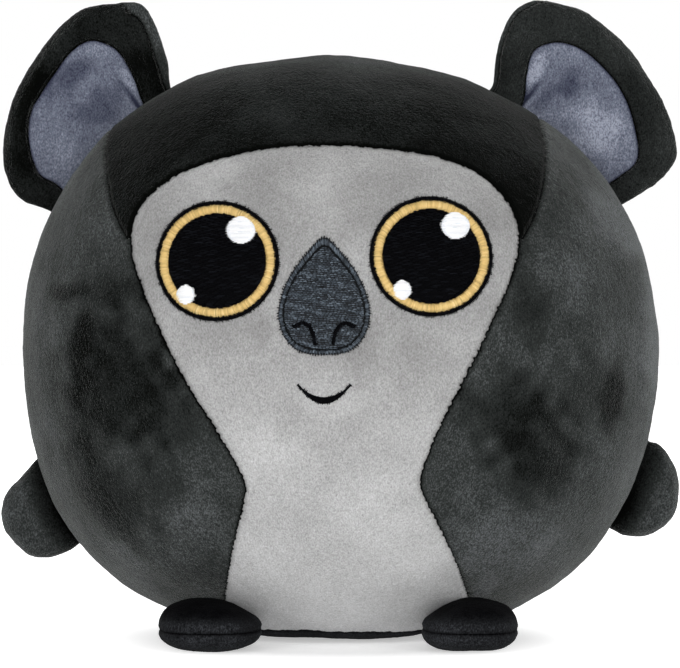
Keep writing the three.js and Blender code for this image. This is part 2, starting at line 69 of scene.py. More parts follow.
smallest_step = 1e-12

# Body: half sizes from its widest level, which stands belly_height above the floor
body_half_width = 113
body_half_depth = 101
crown_height = 101.5
belly_height = 106
crown_power = 2.15
belly_power = 2.5
crown_lean = -6
crown_lean_power = 2.6
side_seam_y = 12
base_seam_z = 3.6
floor_press = 0.5

# Face and belly panel: half outline as shares of its half width and of its top's height above the floor
face_half_width = 66.8
face_rise = 67.5
face_top_z = belly_height + face_rise
face_sway = -5.3
belly_sway = 3
sway_height_share = 0.55
left_corner_rise = 1.8
left_corner_x = (10, 45)
left_corner_z = (140, 155)
face_panel_shares = [
    (0, 1), (0.374, 0.991), (0.629, 0.964), (0.808, 0.931), (0.928, 0.89), (0.991, 0.847),
    (0.997, 0.795), (0.943, 0.726), (0.838, 0.64), (0.722, 0.55), (0.585, 0.457),
    (0.472, 0.366), (0.445, 0.331), (0.467, 0.297), (0.576, 0.179), (0.659, 0.035),
    (0.665, -0.1),
]
forehead_seam_shares = [
    (1.018, 0.817), (1.064, 0.847), (1.105, 0.886), (1.136, 0.934), (1.156, 0.986),
    (1.156, 1.02), (1.144, 1.05),
]
forehead_top_z = 250

# Cloth and seams
cloth_thickness = 1.5
filling_inset = 4
filling_lump_height = 2
filling_lump_length = 30
filling_sink = 1
body_detail = 6
fine_distance = 6
finest_distance = 2.4
cut_clearance = 0.01
seam_samples = 4
panel_seam = {"depth": 0.85, "half_width": 1.5}
side_seam = {"depth": 0.4, "half_width": 1.8}
ragged_seam_width = 0.25
ragged_seam_length = 1.5
pucker_height = 0.14
pucker_length = 5
pucker_reach = 5
lump_heights = {46: 0.4, 19: 0.16, 8: 0.06}
limb_lump_share = 0.6
limb_lump_scale = 1.7
grain_height = 0.04

# Nap: how dark it lies, with strokes where hands have rubbed it, and painted shade and light. Strokes
# are seen from the front:
# middle across and up, half width and height, lean towards +X in degrees, and how much darker
smudge_shades = {38: 0.06, 13: 0.025}
darkest_shade = 0.5
stroke_edge_length = 9
stroke_edge_share = 0.14
stroke_softness = 0.8
# Painted shade along the seams: darkest on the seam line and fading within its reach, less on the face
# panel and the limbs
seam_painted_shade = 1
face_seam_painted_shade = 0.3
limb_seam_painted_shade = 0.6
seam_painted_shade_reach = 0.4
forehead_shade = 0.37
forehead_side_shade = 0.13
forehead_side_reach = (15, 55)
forehead_fade_share = 0.6
forehead_fade_y = (-35, 10)
# Painted sheen along the crown's top edge
crown_painted_sheen = 0.25
crown_painted_sheen_z = (196, 206)
# Painted light on the lowest part of the belly, as if lit from below
belly_painted_light = 0.17
belly_painted_light_z = (48, 14)
# Painted shade on the upper face panel, which tilts away from the light, with a little painted light
# taking some of it back at its very top
face_painted_shade = 0.22
face_painted_shade_z = (66, 118)
face_top_painted_light = 0.12
face_top_painted_light_z = (145, 168)
# Painted shade on the arms where they meet the body
arm_root_painted_shade = 0.6
arm_root_painted_shade_height = 10
arm_light = 0.05
# Painted shade on the tops of the feet, under the belly
foot_top_painted_shade = 0.5
foot_top_painted_shade_z = (9, 14)
side_bulge_height = 1.1
side_bulge_z = 100
side_bulge_reach = 20
charcoal_strokes = [
    (-94, 123, 11, 4.5, 0, 0.6),
    (-79, 124, 14, 9, 0, 0.3),
    (-89, 99, 5, 20, 3, 1),
    (-76, 94, 27, 32, 0, 0.5),
    (-66, 84, 26, 26, 0, 0.2),
    (-80, 52, 12, 29, -38, 0.35),
    (-62, 54, 16, 18, 0, 0.2),
    (58, 81, 21, 22, 8, 0.4),
    (70, 68, 19, 24, 15, 0.38),
    (94, 87, 6, 14, 3, 1.1),
    (62, 126, 8, 30, -12, 0.2),
    (81, 87, 22, 20, 0, 0.25),
    # Painted sheen high on the toy's left side
    (97, 150, 11, 28, -28, -0.3),
    (-86, 74, 13, 14, 0, 0.15),
    # Painted shade low on the toy's left side, beside its foot
    (62, 18, 20, 9, -30, 0.25),
    (55, 36, 26, 26, 0, -0.2),
    (-52, 40, 18, 18, 0, -0.12),
    # Painted sheen along the toy's left edge
    (112, 112, 10, 48, 0, -0.4),
    (100, 52, 14, 26, 35, -0.1),
]
face_strokes = [
    (-25, 110, 9, 8, 0, 0.1),
    (-15, 80, 12, 10, 0, 0.14),
    (6, 100, 8, 6, 0, 0.1),
    (-28, 158, 18, 12, 0, 0.08),
    (25, 162, 16, 8, 0, 0.06),
    (27, 102, 12, 11, 0, 0.08),
    (12, 50, 14, 8, 0, 0.04),
]

panel_strokes = {
    "face_belly_panel": face_strokes,
    "side_panel_right": charcoal_strokes,
    "side_panel_left": charcoal_strokes,
}

# Stitched eyes
eye_spacing = 72.6
eye_rise = 28.4
eye_roll_angle = 1.3
eye_half_width = 21.2
eye_half_height = 20.6
eye_outline_width = 1.4
eye_ring_width = 3.1
glint_half_width = 5.1
glint_half_height = 4.7
glint_place_shares = (0.385, 0.5)
small_glint_radius = 3.3
small_glint_place_shares = (-0.48, -0.565)

# Stitched nose, nostrils and mouth
nose_half_width = 15.4
nose_height = 39.6
nose_tip_rise = 35.5
nose_border_width = 1.6
nose_tip_inset_share = 1.7
nose_shares = [
    (0, 1), (0.42, 0.85), (0.714, 0.697), (0.922, 0.513), (1, 0.33), (0.844, 0.136),
    (0.52, 0.028), (0, 0),
]
nostril_width = 1.7
nostril_shares = [
    (0.195, 0.09), (0.234, 0.172), (0.338, 0.247), (0.48, 0.268), (0.656, 0.235),
]
mouth_half_width = 8.8
mouth_depth = 5.2
mouth_drop = 14.2
mouth_thickness = 2.2
mouth_end_share = 0.3

# Thread
thread_spread = 0.25
thread_radius = 0.23
thread_end_share = 0.35
thread_ragged = 0.12
fewest_stitches = 4
satin_pitch = 0.4
row_pitch = 0.45
row_offset_share = 0.37
row_offset_spread = 0.4
row_level_spread = 0.05
row_wave_length = 2.3
row_wave_shift = 0.8
stitch_length = 3.4
stitch_end_spread = 0.3
shortest_stitch_share = 0.25
stitch_dip = -0.25
thread_sides = 6
thread_rings = 6
backing_height = 0.1
backing_thickness = 0.5
strip_steps = 4
disc_rings = 8
# Darkest tone, for the nose's dark ticks and for the backing under the stitches, their underlay, where
# it also paints the shade in the gaps between stitches
dark_tone = -4.0
eye_outline_stitch = {"height": 0.5, "pitch": 0.6, "ragged": 0.4, "raised": 0.05}
eye_outline_overlap = 0.3
eye_backing_inset = 0.2
eye_ring_stitch = {"height": 0.7, "ragged": 0.28}
eye_ring_overlap = 0.1
pupil_stitch = {"height": 0.35}
glint_stitch = {"height": 0.5, "length": 14, "ragged": 0.35, "raised": 0.6, "pitch": 0.42}
glint_backing_inset = 0.3
glint_backing_rise = 0.75
nose_border_stitch = {"height": 0.5, "pitch": 0.5, "ragged": 0.25}
nose_tick_stitch = {"height": 0.58, "pitch": 0.9, "ragged": 0.45}
nose_fill_stitch = {
    "height": 0.4,
    "length": 1.2,
    "ragged": 0.25,
    "wave": 0.2,
    "pitch": 0.5,
    "radius": 0.22,
}
nose_backing_inset = 0.1
nose_fill_inset = 0.5
nose_bed_overlap = 0.3
nostril_stitch = {"height": 0.55, "pitch": 0.5, "ragged": 0.35, "raised": 0.4}
nostril_backing_inset = 0.3
nostril_backing_rise = 0.5
mouth_stitch = {"height": 0.6, "pitch": 0.55, "ragged": 0.4}
mouth_steps = 33
dent_depth = 0.45
dent_reach = (-1, 2.5)

# Ears: outlines are shares of the reach towards the crown and of the height above the seam
ear_reach = 45
ear_height = 44.7
ear_seat_angle = 43.6
ear_tilt_angle = 45.5
ear_seat_depth = 5
ear_root_depth = 12
lining_root_depth = 36
ear_front_thickness = 7
ear_back_thickness = 7
ear_crown_curl_depth = 11
ear_lower_curl_depth = 7
ear_centre_shares = (0.09, 0.34)
ear_front_profile = [(0, 0.4), (0.6, 0.62), (0.82, 1), (0.95, 0.55), (1, 0)]
ear_back_profile = [(0, 1), (0.6, 0.95), (0.93, 0.6), (1, 0)]
ear_pinch_share = 0.5
ear_pinch_height = 16
ear_filling_root_share = 0.83
ear_blend_height = 12

# The rim seam turns to the front on the crown side, by a share of the rim's roundness
rim_turn_along = (20, 36)
rim_turn_height = (29, 39)
turned_seam_share = 0.4

# Fold in each lining near its crown side, wider towards its end, with painted shade along it
fold_depth = 1.8
fold_half_width = 1.3
fold_root_share = 0.6
fold_painted_shade = 1.1
fold_steps = 40

# Each ear's own: the two outlines, how much darker its rim is, how far its seam turns,
# the fold's line and the strokes on the lining, among them painted highlight beside the fold
ears = {
    "right": {
        "outline": [
            (0.69, 0), (0.83, 0.21), (0.98, 0.52), (0.993, 0.655), (0.907, 0.776),
            (0.656, 0.969), (0.496, 1), (0.349, 1), (-0.004, 0.94), (-0.22, 0.87),
            (-0.433, 0.754), (-0.638, 0.591), (-0.733, 0.447), (-0.778, 0.309), (-0.776, 0.195),
            (-0.69, 0),
        ],
        "lining": [
            (0.436, 0.06), (0.524, 0.268), (0.591, 0.499), (0.58, 0.602), (0.516, 0.72),
            (0.447, 0.765), (0.316, 0.783), (0.107, 0.752), (-0.082, 0.711), (-0.229, 0.664),
            (-0.393, 0.53), (-0.511, 0.329), (-0.527, 0.233), (-0.487, 0.1),
        ],
        "rim_shade": 0.42,
        "rim_turn": 0.44,
        "fold": [(17.6, 0), (18.8, 8), (19.6, 12), (19.8, 16.5)],
        "lining_strokes": [
            (7, 14, 15, 9, 0, 0.34),
            (8, 30, 15, 7, 0, 0.38),
            # Painted highlight on the ridge beside the fold
            (22, 10, 3, 12, 8, -0.3),
            (-14, 14, 8, 14, 0, -0.1),
        ],
    },
    "left": {
        "outline": [
            (0.72, 0), (0.887, 0.217), (1.016, 0.521), (0.984, 0.687), (0.916, 0.779),
            (0.642, 0.96), (0.493, 0.991), (0.113, 1.007), (-0.262, 0.911), (-0.518, 0.812),
            (-0.642, 0.732), (-0.742, 0.615), (-0.758, 0.358), (-0.733, 0.199), (-0.68, 0),
        ],
        "lining": [
            (0.44, 0.06), (0.584, 0.266), (0.658, 0.387), (0.673, 0.472), (0.622, 0.593),
            (0.524, 0.678), (0.393, 0.729), (0.182, 0.743), (0.018, 0.725), (-0.147, 0.671),
            (-0.3, 0.586), (-0.469, 0.459), (-0.513, 0.378), (-0.5, 0.217), (-0.482, 0.1),
        ],
        "rim_shade": 0.22,
        "rim_turn": 0.24,
        "fold": [(20.4, 0), (20.6, 7.5), (21.4, 12), (22.5, 19)],
        "lining_strokes": [
            (14, 20, 7, 8, 0, 0.34),
            (16, 10, 3.5, 10, 0, 0.24),
            # Painted highlight on the ridge beside the fold
            (25.5, 14, 4.5, 12, 10, -0.45),
            (-6, 17, 17, 13, 0, -0.34),
        ],
    },
}

# Arms: outlines are shares of the half length along the seam and of the reach from the body
arm_half_length = 18
arm_half_thickness = 11
arm_root_depth = 8
arm_centre_shares = (0, 0.35)
arm_profile = [(0, 1), (0.66, 0.83), (0.92, 0.5), (1, 0)]
arm_pinch_share = 0.45
arm_pinch_height = 9
arm_blend_height = 7
arms = {
    "right": {
        "reach": 21.8,
        "seat_angle": -31.2,
        "outline": [
            (0.93, -0.07), (0.84, 0.165), (0.755, 0.404), (0.67, 0.615), (0.533, 0.794),
            (0.339, 0.927), (0.094, 1), (-0.139, 0.995), (-0.417, 0.94), (-0.65, 0.862),
            (-0.856, 0.674), (-0.956, 0.482), (-0.983, 0.206), (-0.967, -0.046),
        ],
    },
    "left": {
        "reach": 19,
        "seat_angle": -27.7,
        "outline": [
            (0.961, -0.03), (0.978, 0.1), (0.906, 0.321), (0.789, 0.484), (0.639, 0.668),
            (0.411, 0.826), (0.139, 0.947), (-0.117, 1), (-0.356, 0.979), (-0.6, 0.889),
            (-0.806, 0.721), (-0.939, 0.521), (-1.006, 0.279), (-1, -0.037),
        ],
    },
}

# Feet: lower towards each other
foot_half_widths = {"right": 17.8, "left": 16.4}
foot_half_depth = 27
foot_top_height = 10.3
foot_sole_depth = 7.4
foot_inner_height_share = 0.62
foot_side_share = 0.396
foot_back_share = 0.367
foot_power = 2.5
foot_root_depth = 1
foot_seam_z = foot_sole_depth - floor_press

limb_detail = 6
limb_filling_detail = 4
body_filling_detail = 5
root_depth = 2
limb_seam = {"depth": 0.35, "half_width": 1.4}
turned_seam = {"depth": 1, "half_width": 1.7}
foot_seam = {"depth": 0.5, "half_width": 1.5}
lining_seam = {"depth": 0.8, "half_width": 2}

sides = [("right", -1), ("left", 1)]


# Points and curves
def unit(vectors):
    return vectors / np.linalg.norm(vectors, axis=-1, keepdims=True)


def smoothstep(values, low, high):
    share = np.clip((values - low) / (high - low), 0, 1)
    return share * share * (3 - 2 * share)


def from_shares(shares, width, height):
    return np.array(shares, float) * (width, height)


def mirrored(half):
    inner = half[half[:, 0] > 0]
    return np.concatenate([half, (inner * (-1, 1))[::-1]])


def curve(points, steps, closed):
    """A smooth line through points, as evenly spaced ones."""
    if closed:
        ring = np.concatenate([points[-1:], points, points[:2]])
    else:
        ring = np.concatenate([points[:1], points, points[-1:]])
    dense = []
    share = np.linspace(0, 1, curve_span_steps, endpoint=False)[:, None]
    for before, start, end, after in zip(ring, ring[1:], ring[2:], ring[3:]):
        span = np.sqrt(np.linalg.norm(end - start))
        arriving = np.sqrt(np.linalg.norm(start - before)) or span
        leaving = np.sqrt(np.linalg.norm(after - end)) or span
        first = (start - before) / arriving - (end - before) / (arriving + span) + (end - start) / span
        last = (end - start) / span - (after - start) / (span + leaving) + (after - end) / leaving
        cubic = 2 * start - 2 * end + (first + last) * span
        square = 3 * end - 3 * start - (2 * first + last) * span
        dense.append(((cubic * share + square) * share + first * span) * share + start)
    dense = np.concatenate([*dense, ring[-2:-1]])
    return spaced(dense, steps)[: -1 if closed else None]


def spaced(line, steps):
    """The same line as evenly spaced points."""
    lengths = np.linalg.norm(np.diff(line, axis=0), axis=1)
    places = np.concatenate([[0], np.cumsum(lengths)])
    wanted = np.linspace(0, places[-1], steps + 1)
    return np.stack([np.interp(wanted, places, column) for column in line.T], axis=1)


def length_of(line):
    return np.linalg.norm(np.diff(line, axis=0), axis=1).sum()


def grown(outline, distance):
    """A closed outline moved outwards by a distance, or inwards by a negative one."""
    before = unit(outline - np.roll(outline, 1, axis=0))
    after = unit(np.roll(outline, -1, axis=0) - outline)
    along = unit(before + after)
    x, y = outline.T
    turn = np.sign(np.sum(x * np.roll(y, -1) - y * np.roll(x, -1)))
    outward = np.stack([along[:, 1], -along[:, 0]], axis=1) * turn
    return outline + outward * distance / np.sum(along * after, axis=1, keepdims=True)


def outside(flat, outline):
    """Distance of flat points from a closed outline, negative inside it."""
    start = outline
    span = np.roll(outline, -1, axis=0) - outline
    result = []
    for first in range(0, len(flat), chunk):
        point = flat[first : first + chunk, None]
        offset = point - start
        share = np.clip(np.sum(offset * span, axis=2) / np.sum(span * span, axis=1), 0, 1)
        distance = np.linalg.norm(offset - share[..., None] * span, axis=2).min(axis=1)
        rising = (start[:, 1] > point[..., 1]) != (start[:, 1] + span[:, 1] > point[..., 1])
        height = np.where(span[:, 1] == 0, 1, span[:, 1])
        crossing = start[:, 0] + span[:, 0] * offset[..., 1] / height
        inside = (rising & (point[..., 0] < crossing)).sum(axis=1) % 2 == 1
        result.append(np.where(inside, -distance, distance))
    return np.concatenate(result)


def ripples(points, length, use):
    """Smooth random heights from about -1 to 1, with bumps of about that length."""
    own = np.random.default_rng(seeds[use])
    directions = unit(own.normal(size=(ripple_waves, 3)))
    steps = directions * own.uniform(*ripple_spread, (ripple_waves, 1)) * 2 * np.pi / length
    phases = own.uniform(0, 2 * np.pi, ripple_waves)
    return np.cos(points @ steps.T + phases).sum(axis=-1) / math.sqrt(ripple_waves)


# Meshes: each is a pair of points and triangles
def ball(detail):
    """A ball of even triangles, whose points are directions."""
    golden = (1 + math.sqrt(5)) / 2
    corners = []
    for a in (-1, 1):
        for b in (-golden, golden):
            corners += [(a, b, 0), (0, a, b), (b, 0, a)]
    points = unit(np.array(corners))
    apart = np.linalg.norm(points[:, None] - points, axis=2)
    shortest = np.sort(apart[0])[1]
    near = (apart > 0) & (apart < shortest * neighbour_share)
    faces = []
    for a in range(len(points)):
        for b in range(a + 1, len(points)):
            for c in range(b + 1, len(points)):
                if near[a, b] and near[b, c] and near[a, c]:
                    turned = np.linalg.det(points[[a, b, c]]) < 0
                    faces.append((a, c, b) if turned else (a, b, c))
    faces = np.array(faces)
    for _ in range(detail):
        points, faces = refined((points, faces), np.full(len(faces), True))
        points = unit(points)
    return points, faces


def refined(mesh, marked):
    """Each marked triangle in four, and its neighbours split to match."""
    points, faces = mesh
    edges = np.sort(faces[:, [[0, 1], [1, 2], [2, 0]]], axis=2).reshape(-1, 2)
    edges, index = np.unique(edges, axis=0, return_inverse=True)
    index = index.reshape(-1, 3)
    split = np.full(len(edges), False)
    split[index[marked]] = True
    middle = np.full(len(edges), -1)
    middle[split] = len(points) + np.arange(split.sum())
    middles = middle[index]
    count = (middles >= 0).sum(axis=1)

    def turned(rows, first):
        order = (first[:, None] + np.arange(3)) % 3
        corners = np.take_along_axis(faces[rows], order, axis=1)
        halves = np.take_along_axis(middles[rows], order, axis=1)
        return [*corners.T, *halves.T]

    parts = [faces[count == 0]]
    a, b, c, ab, bc, ca = turned(count == 3, np.zeros((count == 3).sum(), int))
    parts += [triples(a, ab, ca), triples(ab, b, bc), triples(ca, bc, c), triples(ab, bc, ca)]
    a, b, c, ab, bc, ca = turned(count == 1, (middles[count == 1] >= 0).argmax(axis=1))
    parts += [triples(a, ab, c), triples(ab, b, c)]
    a, b, c, ab, bc, ca = turned(count == 2, ((middles[count == 2] < 0).argmax(axis=1) + 1) % 3)
    parts += [triples(ab, b, bc), triples(a, ab, bc), triples(a, bc, c)]
    return np.concatenate([points, points[edges[split]].mean(axis=1)]), np.concatenate(parts)


def triples(*columns):
    return np.stack(columns, axis=1)


def quads(numbers, after):
    """Two triangles for each cell of a grid, from its point numbers and those after them."""
    a, b, c, d = numbers[:-1].ravel(), after[:-1].ravel(), after[1:].ravel(), numbers[1:].ravel()
    return [triples(a, b, c), triples(a, c, d)]


def used(mesh):
    """The mesh without the points that no triangle uses."""
    points, faces = mesh
    kept, index = np.unique(faces, return_inverse=True)
    return points[kept], index.reshape(-1, 3)


def cut(mesh, values):
    """The parts of a mesh where a value is below and above zero, and the line between them."""
    points, faces = mesh
    values = np.where(np.abs(values) < cut_clearance, np.copysign(cut_clearance, values), values)
    below = values < 0
    lows = below[faces]
    count = lows.sum(axis=1)
    mixed = (count == 1) | (count == 2)
    odd = np.where(count[mixed] == 1, lows[mixed].argmax(axis=1), (~lows[mixed]).argmax(axis=1))
    order = (odd[:, None] + np.arange(3)) % 3
    a, b, c = np.take_along_axis(faces[mixed], order, axis=1).T
    edges = np.sort(np.concatenate([triples(a, b), triples(a, c)]), axis=1)
    edges, index = np.unique(edges, axis=0, return_inverse=True)
    low, high = values[edges[:, 0]], values[edges[:, 1]]
    share = (low / (low - high))[:, None]
    fresh = points[edges[:, 0]] * (1 - share) + points[edges[:, 1]] * share
    ab, ac = np.split(len(points) + index.reshape(-1), 2)
    tips = triples(a, ab, ac)
    rests = np.concatenate([triples(ab, b, c), triples(ab, c, ac)])
    tip_below = below[a]
    rest_below = np.tile(~tip_below, 2)
    points = np.concatenate([points, fresh])
    lower = np.concatenate([faces[count == 3], tips[tip_below], rests[rest_below]])
    upper = np.concatenate([faces[count == 0], tips[~tip_below], rests[~rest_below]])
    return used((points, lower)), used((points, upper)), points[triples(ab, ac)]


def normals_of(mesh):
    points, faces = mesh
    a, b, c = points[faces].transpose(1, 0, 2)
    facing = np.cross(b - a, c - a)
    sums = np.zeros_like(points)
    for corner in range(3):
        for axis in range(3):
            sums[:, axis] += np.bincount(faces[:, corner], facing[:, axis], len(points))
    return unit(sums)


def shell(mesh, thickness, normals=None):
    """A closed sheet of cloth whose outer face is the mesh."""
    points, faces = mesh
    if normals is None:
        normals = normals_of(mesh)
    edges = faces[:, [[0, 1], [1, 2], [2, 0]]].reshape(-1, 2)
    _, index, count = np.unique(np.sort(edges, axis=1), axis=0, return_index=True, return_counts=True)
    start, end = edges[index[count == 1]].T
    under = len(points)
    walls = [triples(end, start, start + under), triples(end, start + under, end + under)]
    inner = faces[:, ::-1] + under
    both = np.concatenate([points, points - normals * thickness])
    return both, np.concatenate([faces, inner, *walls])


def joined(meshes):
    starts = np.cumsum([0] + [len(points) for points, _ in meshes])
    points = np.concatenate([points for points, _ in meshes])
    return points, np.concatenate([faces + start for (_, faces), start in zip(meshes, starts)])


class Seams:
    """Sewn lines that draw the cloth in around them."""

    def __init__(self, lines):
        self.places = []
        depths = []
        widths = []
        for segments, seam in lines:
            share = np.linspace(0, 1, seam_samples, endpoint=False)[:, None, None]
            samples = segments[:, 0] * (1 - share) + segments[:, 1] * share
            self.places.append(samples.reshape(-1, 3))
            depths.append(np.full(samples.size // 3, seam["depth"]))
            widths.append(np.full(samples.size // 3, seam["half_width"]))
        self.places = np.concatenate(self.places)
        self.depths = np.concatenate(depths)
        self.widths = np.concatenate(widths)
        self.tree = kdtree.KDTree(len(self.places))
        for index, place in enumerate(self.places):
            self.tree.insert(place, index)
        self.tree.balance()

    def nearest(self, points):
        found = [self.tree.find(point)[1:] for point in points]
        index, distance = np.array(found).T
        return index.astype(int), distance

    def height(self, points):
        """How far the cloth is drawn in, and how close each point is to a seam, from 0 to 1."""
        index, distance = self.nearest(points)
        share = np.clip(1 - distance / self.widths[index], 0, 1)
        pucker = ripples(self.places[index], pucker_length, "puckers")
        fade = np.clip(1 - distance / pucker_reach, 0, 1) ** 2
        drawn_in = self.depths[index] * (1 - np.cos(np.pi * share)) / 2
        return pucker_height * pucker * fade - drawn_in, np.exp(-distance / seam_painted_shade_reach)


# Body
def body_half(upper):
    """The power and the height of the body's upper or lower half."""
    power = np.where(upper, crown_power, belly_power)
    return power, np.where(upper, crown_height, belly_height + floor_press)


def lean(rise):
    """How far the crown leans aside at a share of its height."""
    return np.where(rise >= 0, crown_lean * np.abs(rise) ** crown_lean_power, 0)


def body_points(directions, grow=0):
    """The points of the body's smooth form in these directions from its middle."""
    x, y, z = directions.T
    power, half_height = body_half(z >= 0)
    across = np.hypot(x, y)
    reach = (across**power + np.abs(z) ** power) ** (-1 / power)
    rise = z * reach
    places = [
        x * reach * (body_half_width + grow) + lean(rise),
        y * reach * (body_half_depth + grow),
        belly_height + rise * (half_height + grow),
    ]
    return np.stack(places, axis=1)


def body_parts(points):
    """A point's place as shares of the body's half sizes, and its power and half height."""
    x, y, z = np.moveaxis(points, -1, 0)
    power, half_height = body_half(z >= belly_height)
    rise = (z - belly_height) / half_height
    return (x - lean(rise)) / body_half_width, y / body_half_depth, rise, power, half_height


def body_height(points):
    """Roughly how far points stand outside the body's skin."""
    across, deep, rise, power, _ = body_parts(points)
    size = (np.hypot(across, deep) ** power + np.abs(rise) ** power) ** (1 / power)
    return (size - 1) * body_half_depth


def body_normals(points):
    across, deep, rise, power, half_height = body_parts(points)
    ring = np.maximum(np.hypot(across, deep), smallest_ring)
    slope_x = ring ** (power - 2) * across / body_half_width
    slope_y = ring ** (power - 2) * deep / body_half_depth
    slope_z = np.sign(rise) * np.abs(rise) ** (power - 1) / half_height
    leaning = crown_lean * crown_lean_power * np.abs(rise) ** (crown_lean_power - 1)
    slope_z = slope_z - slope_x * np.where(rise > 0, leaning, 0) / half_height
    return unit(np.stack([slope_x, slope_y, slope_z], axis=-1))


def front_points(flat):
    """The points of the body's front skin that the front view shows at these x and z."""
    x, z = np.moveaxis(flat, -1, 0)
    across, _, rise, power, _ = body_parts(np.stack([x, np.zeros_like(x), z], axis=-1))
    ring = np.clip(1 - np.abs(rise) ** power, 0, 1) ** (1 / power)
    deep = -np.sqrt(np.clip(ring**2 - across**2, 0, 1))
    return np.stack([x, deep * body_half_depth, z], axis=-1)


def lumps(points):
    return sum(height * ripples(points, length, "lumps") for length, height in lump_heights.items())


def side_bulge(points):
    """How much fuller the sides are round one level."""
    return side_bulge_height * np.exp(-(((points[..., 2] - side_bulge_z) / side_bulge_reach) ** 2))


def on_skin(flat, height):
    """Points of the front view at a height above the cloth, and the directions out of it."""
    points = front_points(flat)
    normals = body_normals(points)
    return points + normals * (lumps(points) + side_bulge(points) + height)[..., None], normals


def sway(height):
    """How far the face's middle line stands aside: the head is a little twisted on the belly."""
    twist = smoothstep(height, 0, face_top_z * sway_height_share)
    return belly_sway + (face_sway - belly_sway) * twist


def swayed(outline):
    return outline + np.stack([sway(outline[:, 1]), np.zeros(len(outline))], axis=1)


def face_outline():
    half = from_shares(face_panel_shares, face_half_width, face_top_z)
    outline = swayed(curve(mirrored(half), steps=240, closed=True))
    raised = smoothstep(outline[:, 0], *left_corner_x) * smoothstep(outline[:, 1], *left_corner_z)
    outline[:, 1] += left_corner_rise * raised
    return outline


def forehead_outline():
    seam = from_shares(forehead_seam_shares, face_half_width, face_top_z)
    seam = curve(seam, steps=40, closed=False)
    top = np.array([[seam[-1, 0], forehead_top_z]])
    return swayed(mirrored(np.concatenate([seam, top])))


def body_panels():
    """The body's seven panels on its smooth form, and the lines where they are sewn."""
    face = face_outline()
    forehead = forehead_outline()

    def seam_distance(points):
        flat = points[:, [0, 2]]
        off_face = outside(flat, face)
        front = np.abs(off_face)
        off_forehead = np.abs(outside(flat, forehead))
        front = np.where(off_face > 0, np.minimum(front, off_forehead), front)
        across = np.where(points[:, 1] > side_seam_y, np.abs(points[:, 0]), front)
        across = np.minimum(across, np.abs(points[:, 1] - side_seam_y))
        return np.minimum(across, np.abs(points[:, 2] - base_seam_z))

    directions, faces = ball(body_detail)
    for reach in (fine_distance, finest_distance):
        near = seam_distance(body_points(directions)) < reach
        directions, faces = refined((directions, faces), near[faces].any(axis=1))
        directions = unit(directions)
    whole = (body_points(directions), faces)
    base, upper, base_line = cut(whole, whole[0][:, 2] - base_seam_z + ragged(whole[0]))
    front, back, side_line = cut(upper, upper[0][:, 1] - side_seam_y)
    back_right, back_left, back_line = cut(back, back[0][:, 0])
    face_panel, rest, face_line = cut(front, outside(front[0][:, [0, 2]], face) + ragged(front[0]))
    brow, flanks, brow_line = cut(rest, outside(rest[0][:, [0, 2]], forehead))
    flank_right, flank_left, _ = cut(flanks, flanks[0][:, 0])
    panels = {
        "base_panel": base,
        "face_belly_panel": face_panel,
        "forehead_panel": brow,
        "side_panel_right": flank_right,
        "side_panel_left": flank_left,
        "back_panel_right": back_right,
        "back_panel_left": back_left,
    }
    lines = [
        (side_line, side_seam),
        (back_line, side_seam),
        (face_line, panel_seam),
        (brow_line, panel_seam),
        (base_line, panel_seam),
    ]
    return panels, Seams(lines)


def ragged(points):
    """The pile hides a seam's true line, which then looks ragged."""
    return ragged_seam_width * ripples(points, ragged_seam_length, "seams")


def brushed_and_painted(flat, strokes):
    """How dark the nap lies: soft smudges all over, and the strokes of hands, with strokes of painted
    shade and sheen among them.
    """
    places = np.column_stack([flat, np.zeros(len(flat))])
    shade = sum(dark * ripples(places, length, "smudges") for length, dark in smudge_shades.items())
    edge = stroke_edge_share * ripples(places, stroke_edge_length, "stroke_edges")
    for x, z, half_width, half_height, lean, darkness in strokes:
        angle = math.radians(lean)
        offset = flat - (x, z)
        across = offset @ (math.cos(angle), -math.sin(angle)) / half_width
        up = offset @ (math.sin(angle), math.cos(angle)) / half_height
        shade += darkness * smoothstep(1 - np.hypot(across, up) + edge, 0, stroke_softness)
    return darkest_shade * np.tanh(shade / darkest_shade)


def dents(points):
    """How far the stitching draws the face in."""
    flat = points[:, [0, 2]]
    outlines = [eye_oval(sign, 0) for _, sign in sides] + [nose_outline(0)]
    distance = np.min([outside(flat, outline) for outline in outlines], axis=0)
    return dent_depth * (1 - smoothstep(distance, *dent_reach)) * (points[:, 1] < 0)


def body_cloth(node, mesh, seams):
    """A panel's cloth, drawn in at its seams, with its tone at each point: the nap's shade, and painted
    shade and light.
    """
    points, faces = mesh
    normals = body_normals(points)
    height, closeness = seams.height(points)
    height = height + lumps(points) + grain_height * random.normal(size=len(points))
    height += side_bulge(points)
    is_face = node == "face_belly_panel"
    flat = points[:, [0, 2]]
    shade = brushed_and_painted(flat, panel_strokes.get(node, []))
    if is_face:
        height -= dents(points)
        # painted shade on the upper face, a little lifted at its top
        shade += face_painted_shade * smoothstep(points[:, 2], *face_painted_shade_z)
        shade -= face_top_painted_light * smoothstep(points[:, 2], *face_top_painted_light_z)
        # painted light on the lowest part of the belly
        shade -= belly_painted_light * smoothstep(points[:, 2], *belly_painted_light_z)
    elif node == "forehead_panel":
        aside = np.abs(flat[:, 0] - face_sway)
        darker = forehead_shade + forehead_side_shade * smoothstep(aside, *forehead_side_reach)
        shade += darker * (1 - forehead_fade_share * smoothstep(points[:, 1], *forehead_fade_y))
        # painted sheen along the crown's top edge
        shade -= crown_painted_sheen * smoothstep(points[:, 2], *crown_painted_sheen_z)
    skin = points + normals * height[:, None]
    skin[:, 2] = np.maximum(skin[:, 2], 0)
    # painted shade along the seams
    shade += closeness * (face_seam_painted_shade if is_face else seam_painted_shade)
    return shell((skin, faces), cloth_thickness, normals), np.tile(shade, 2)


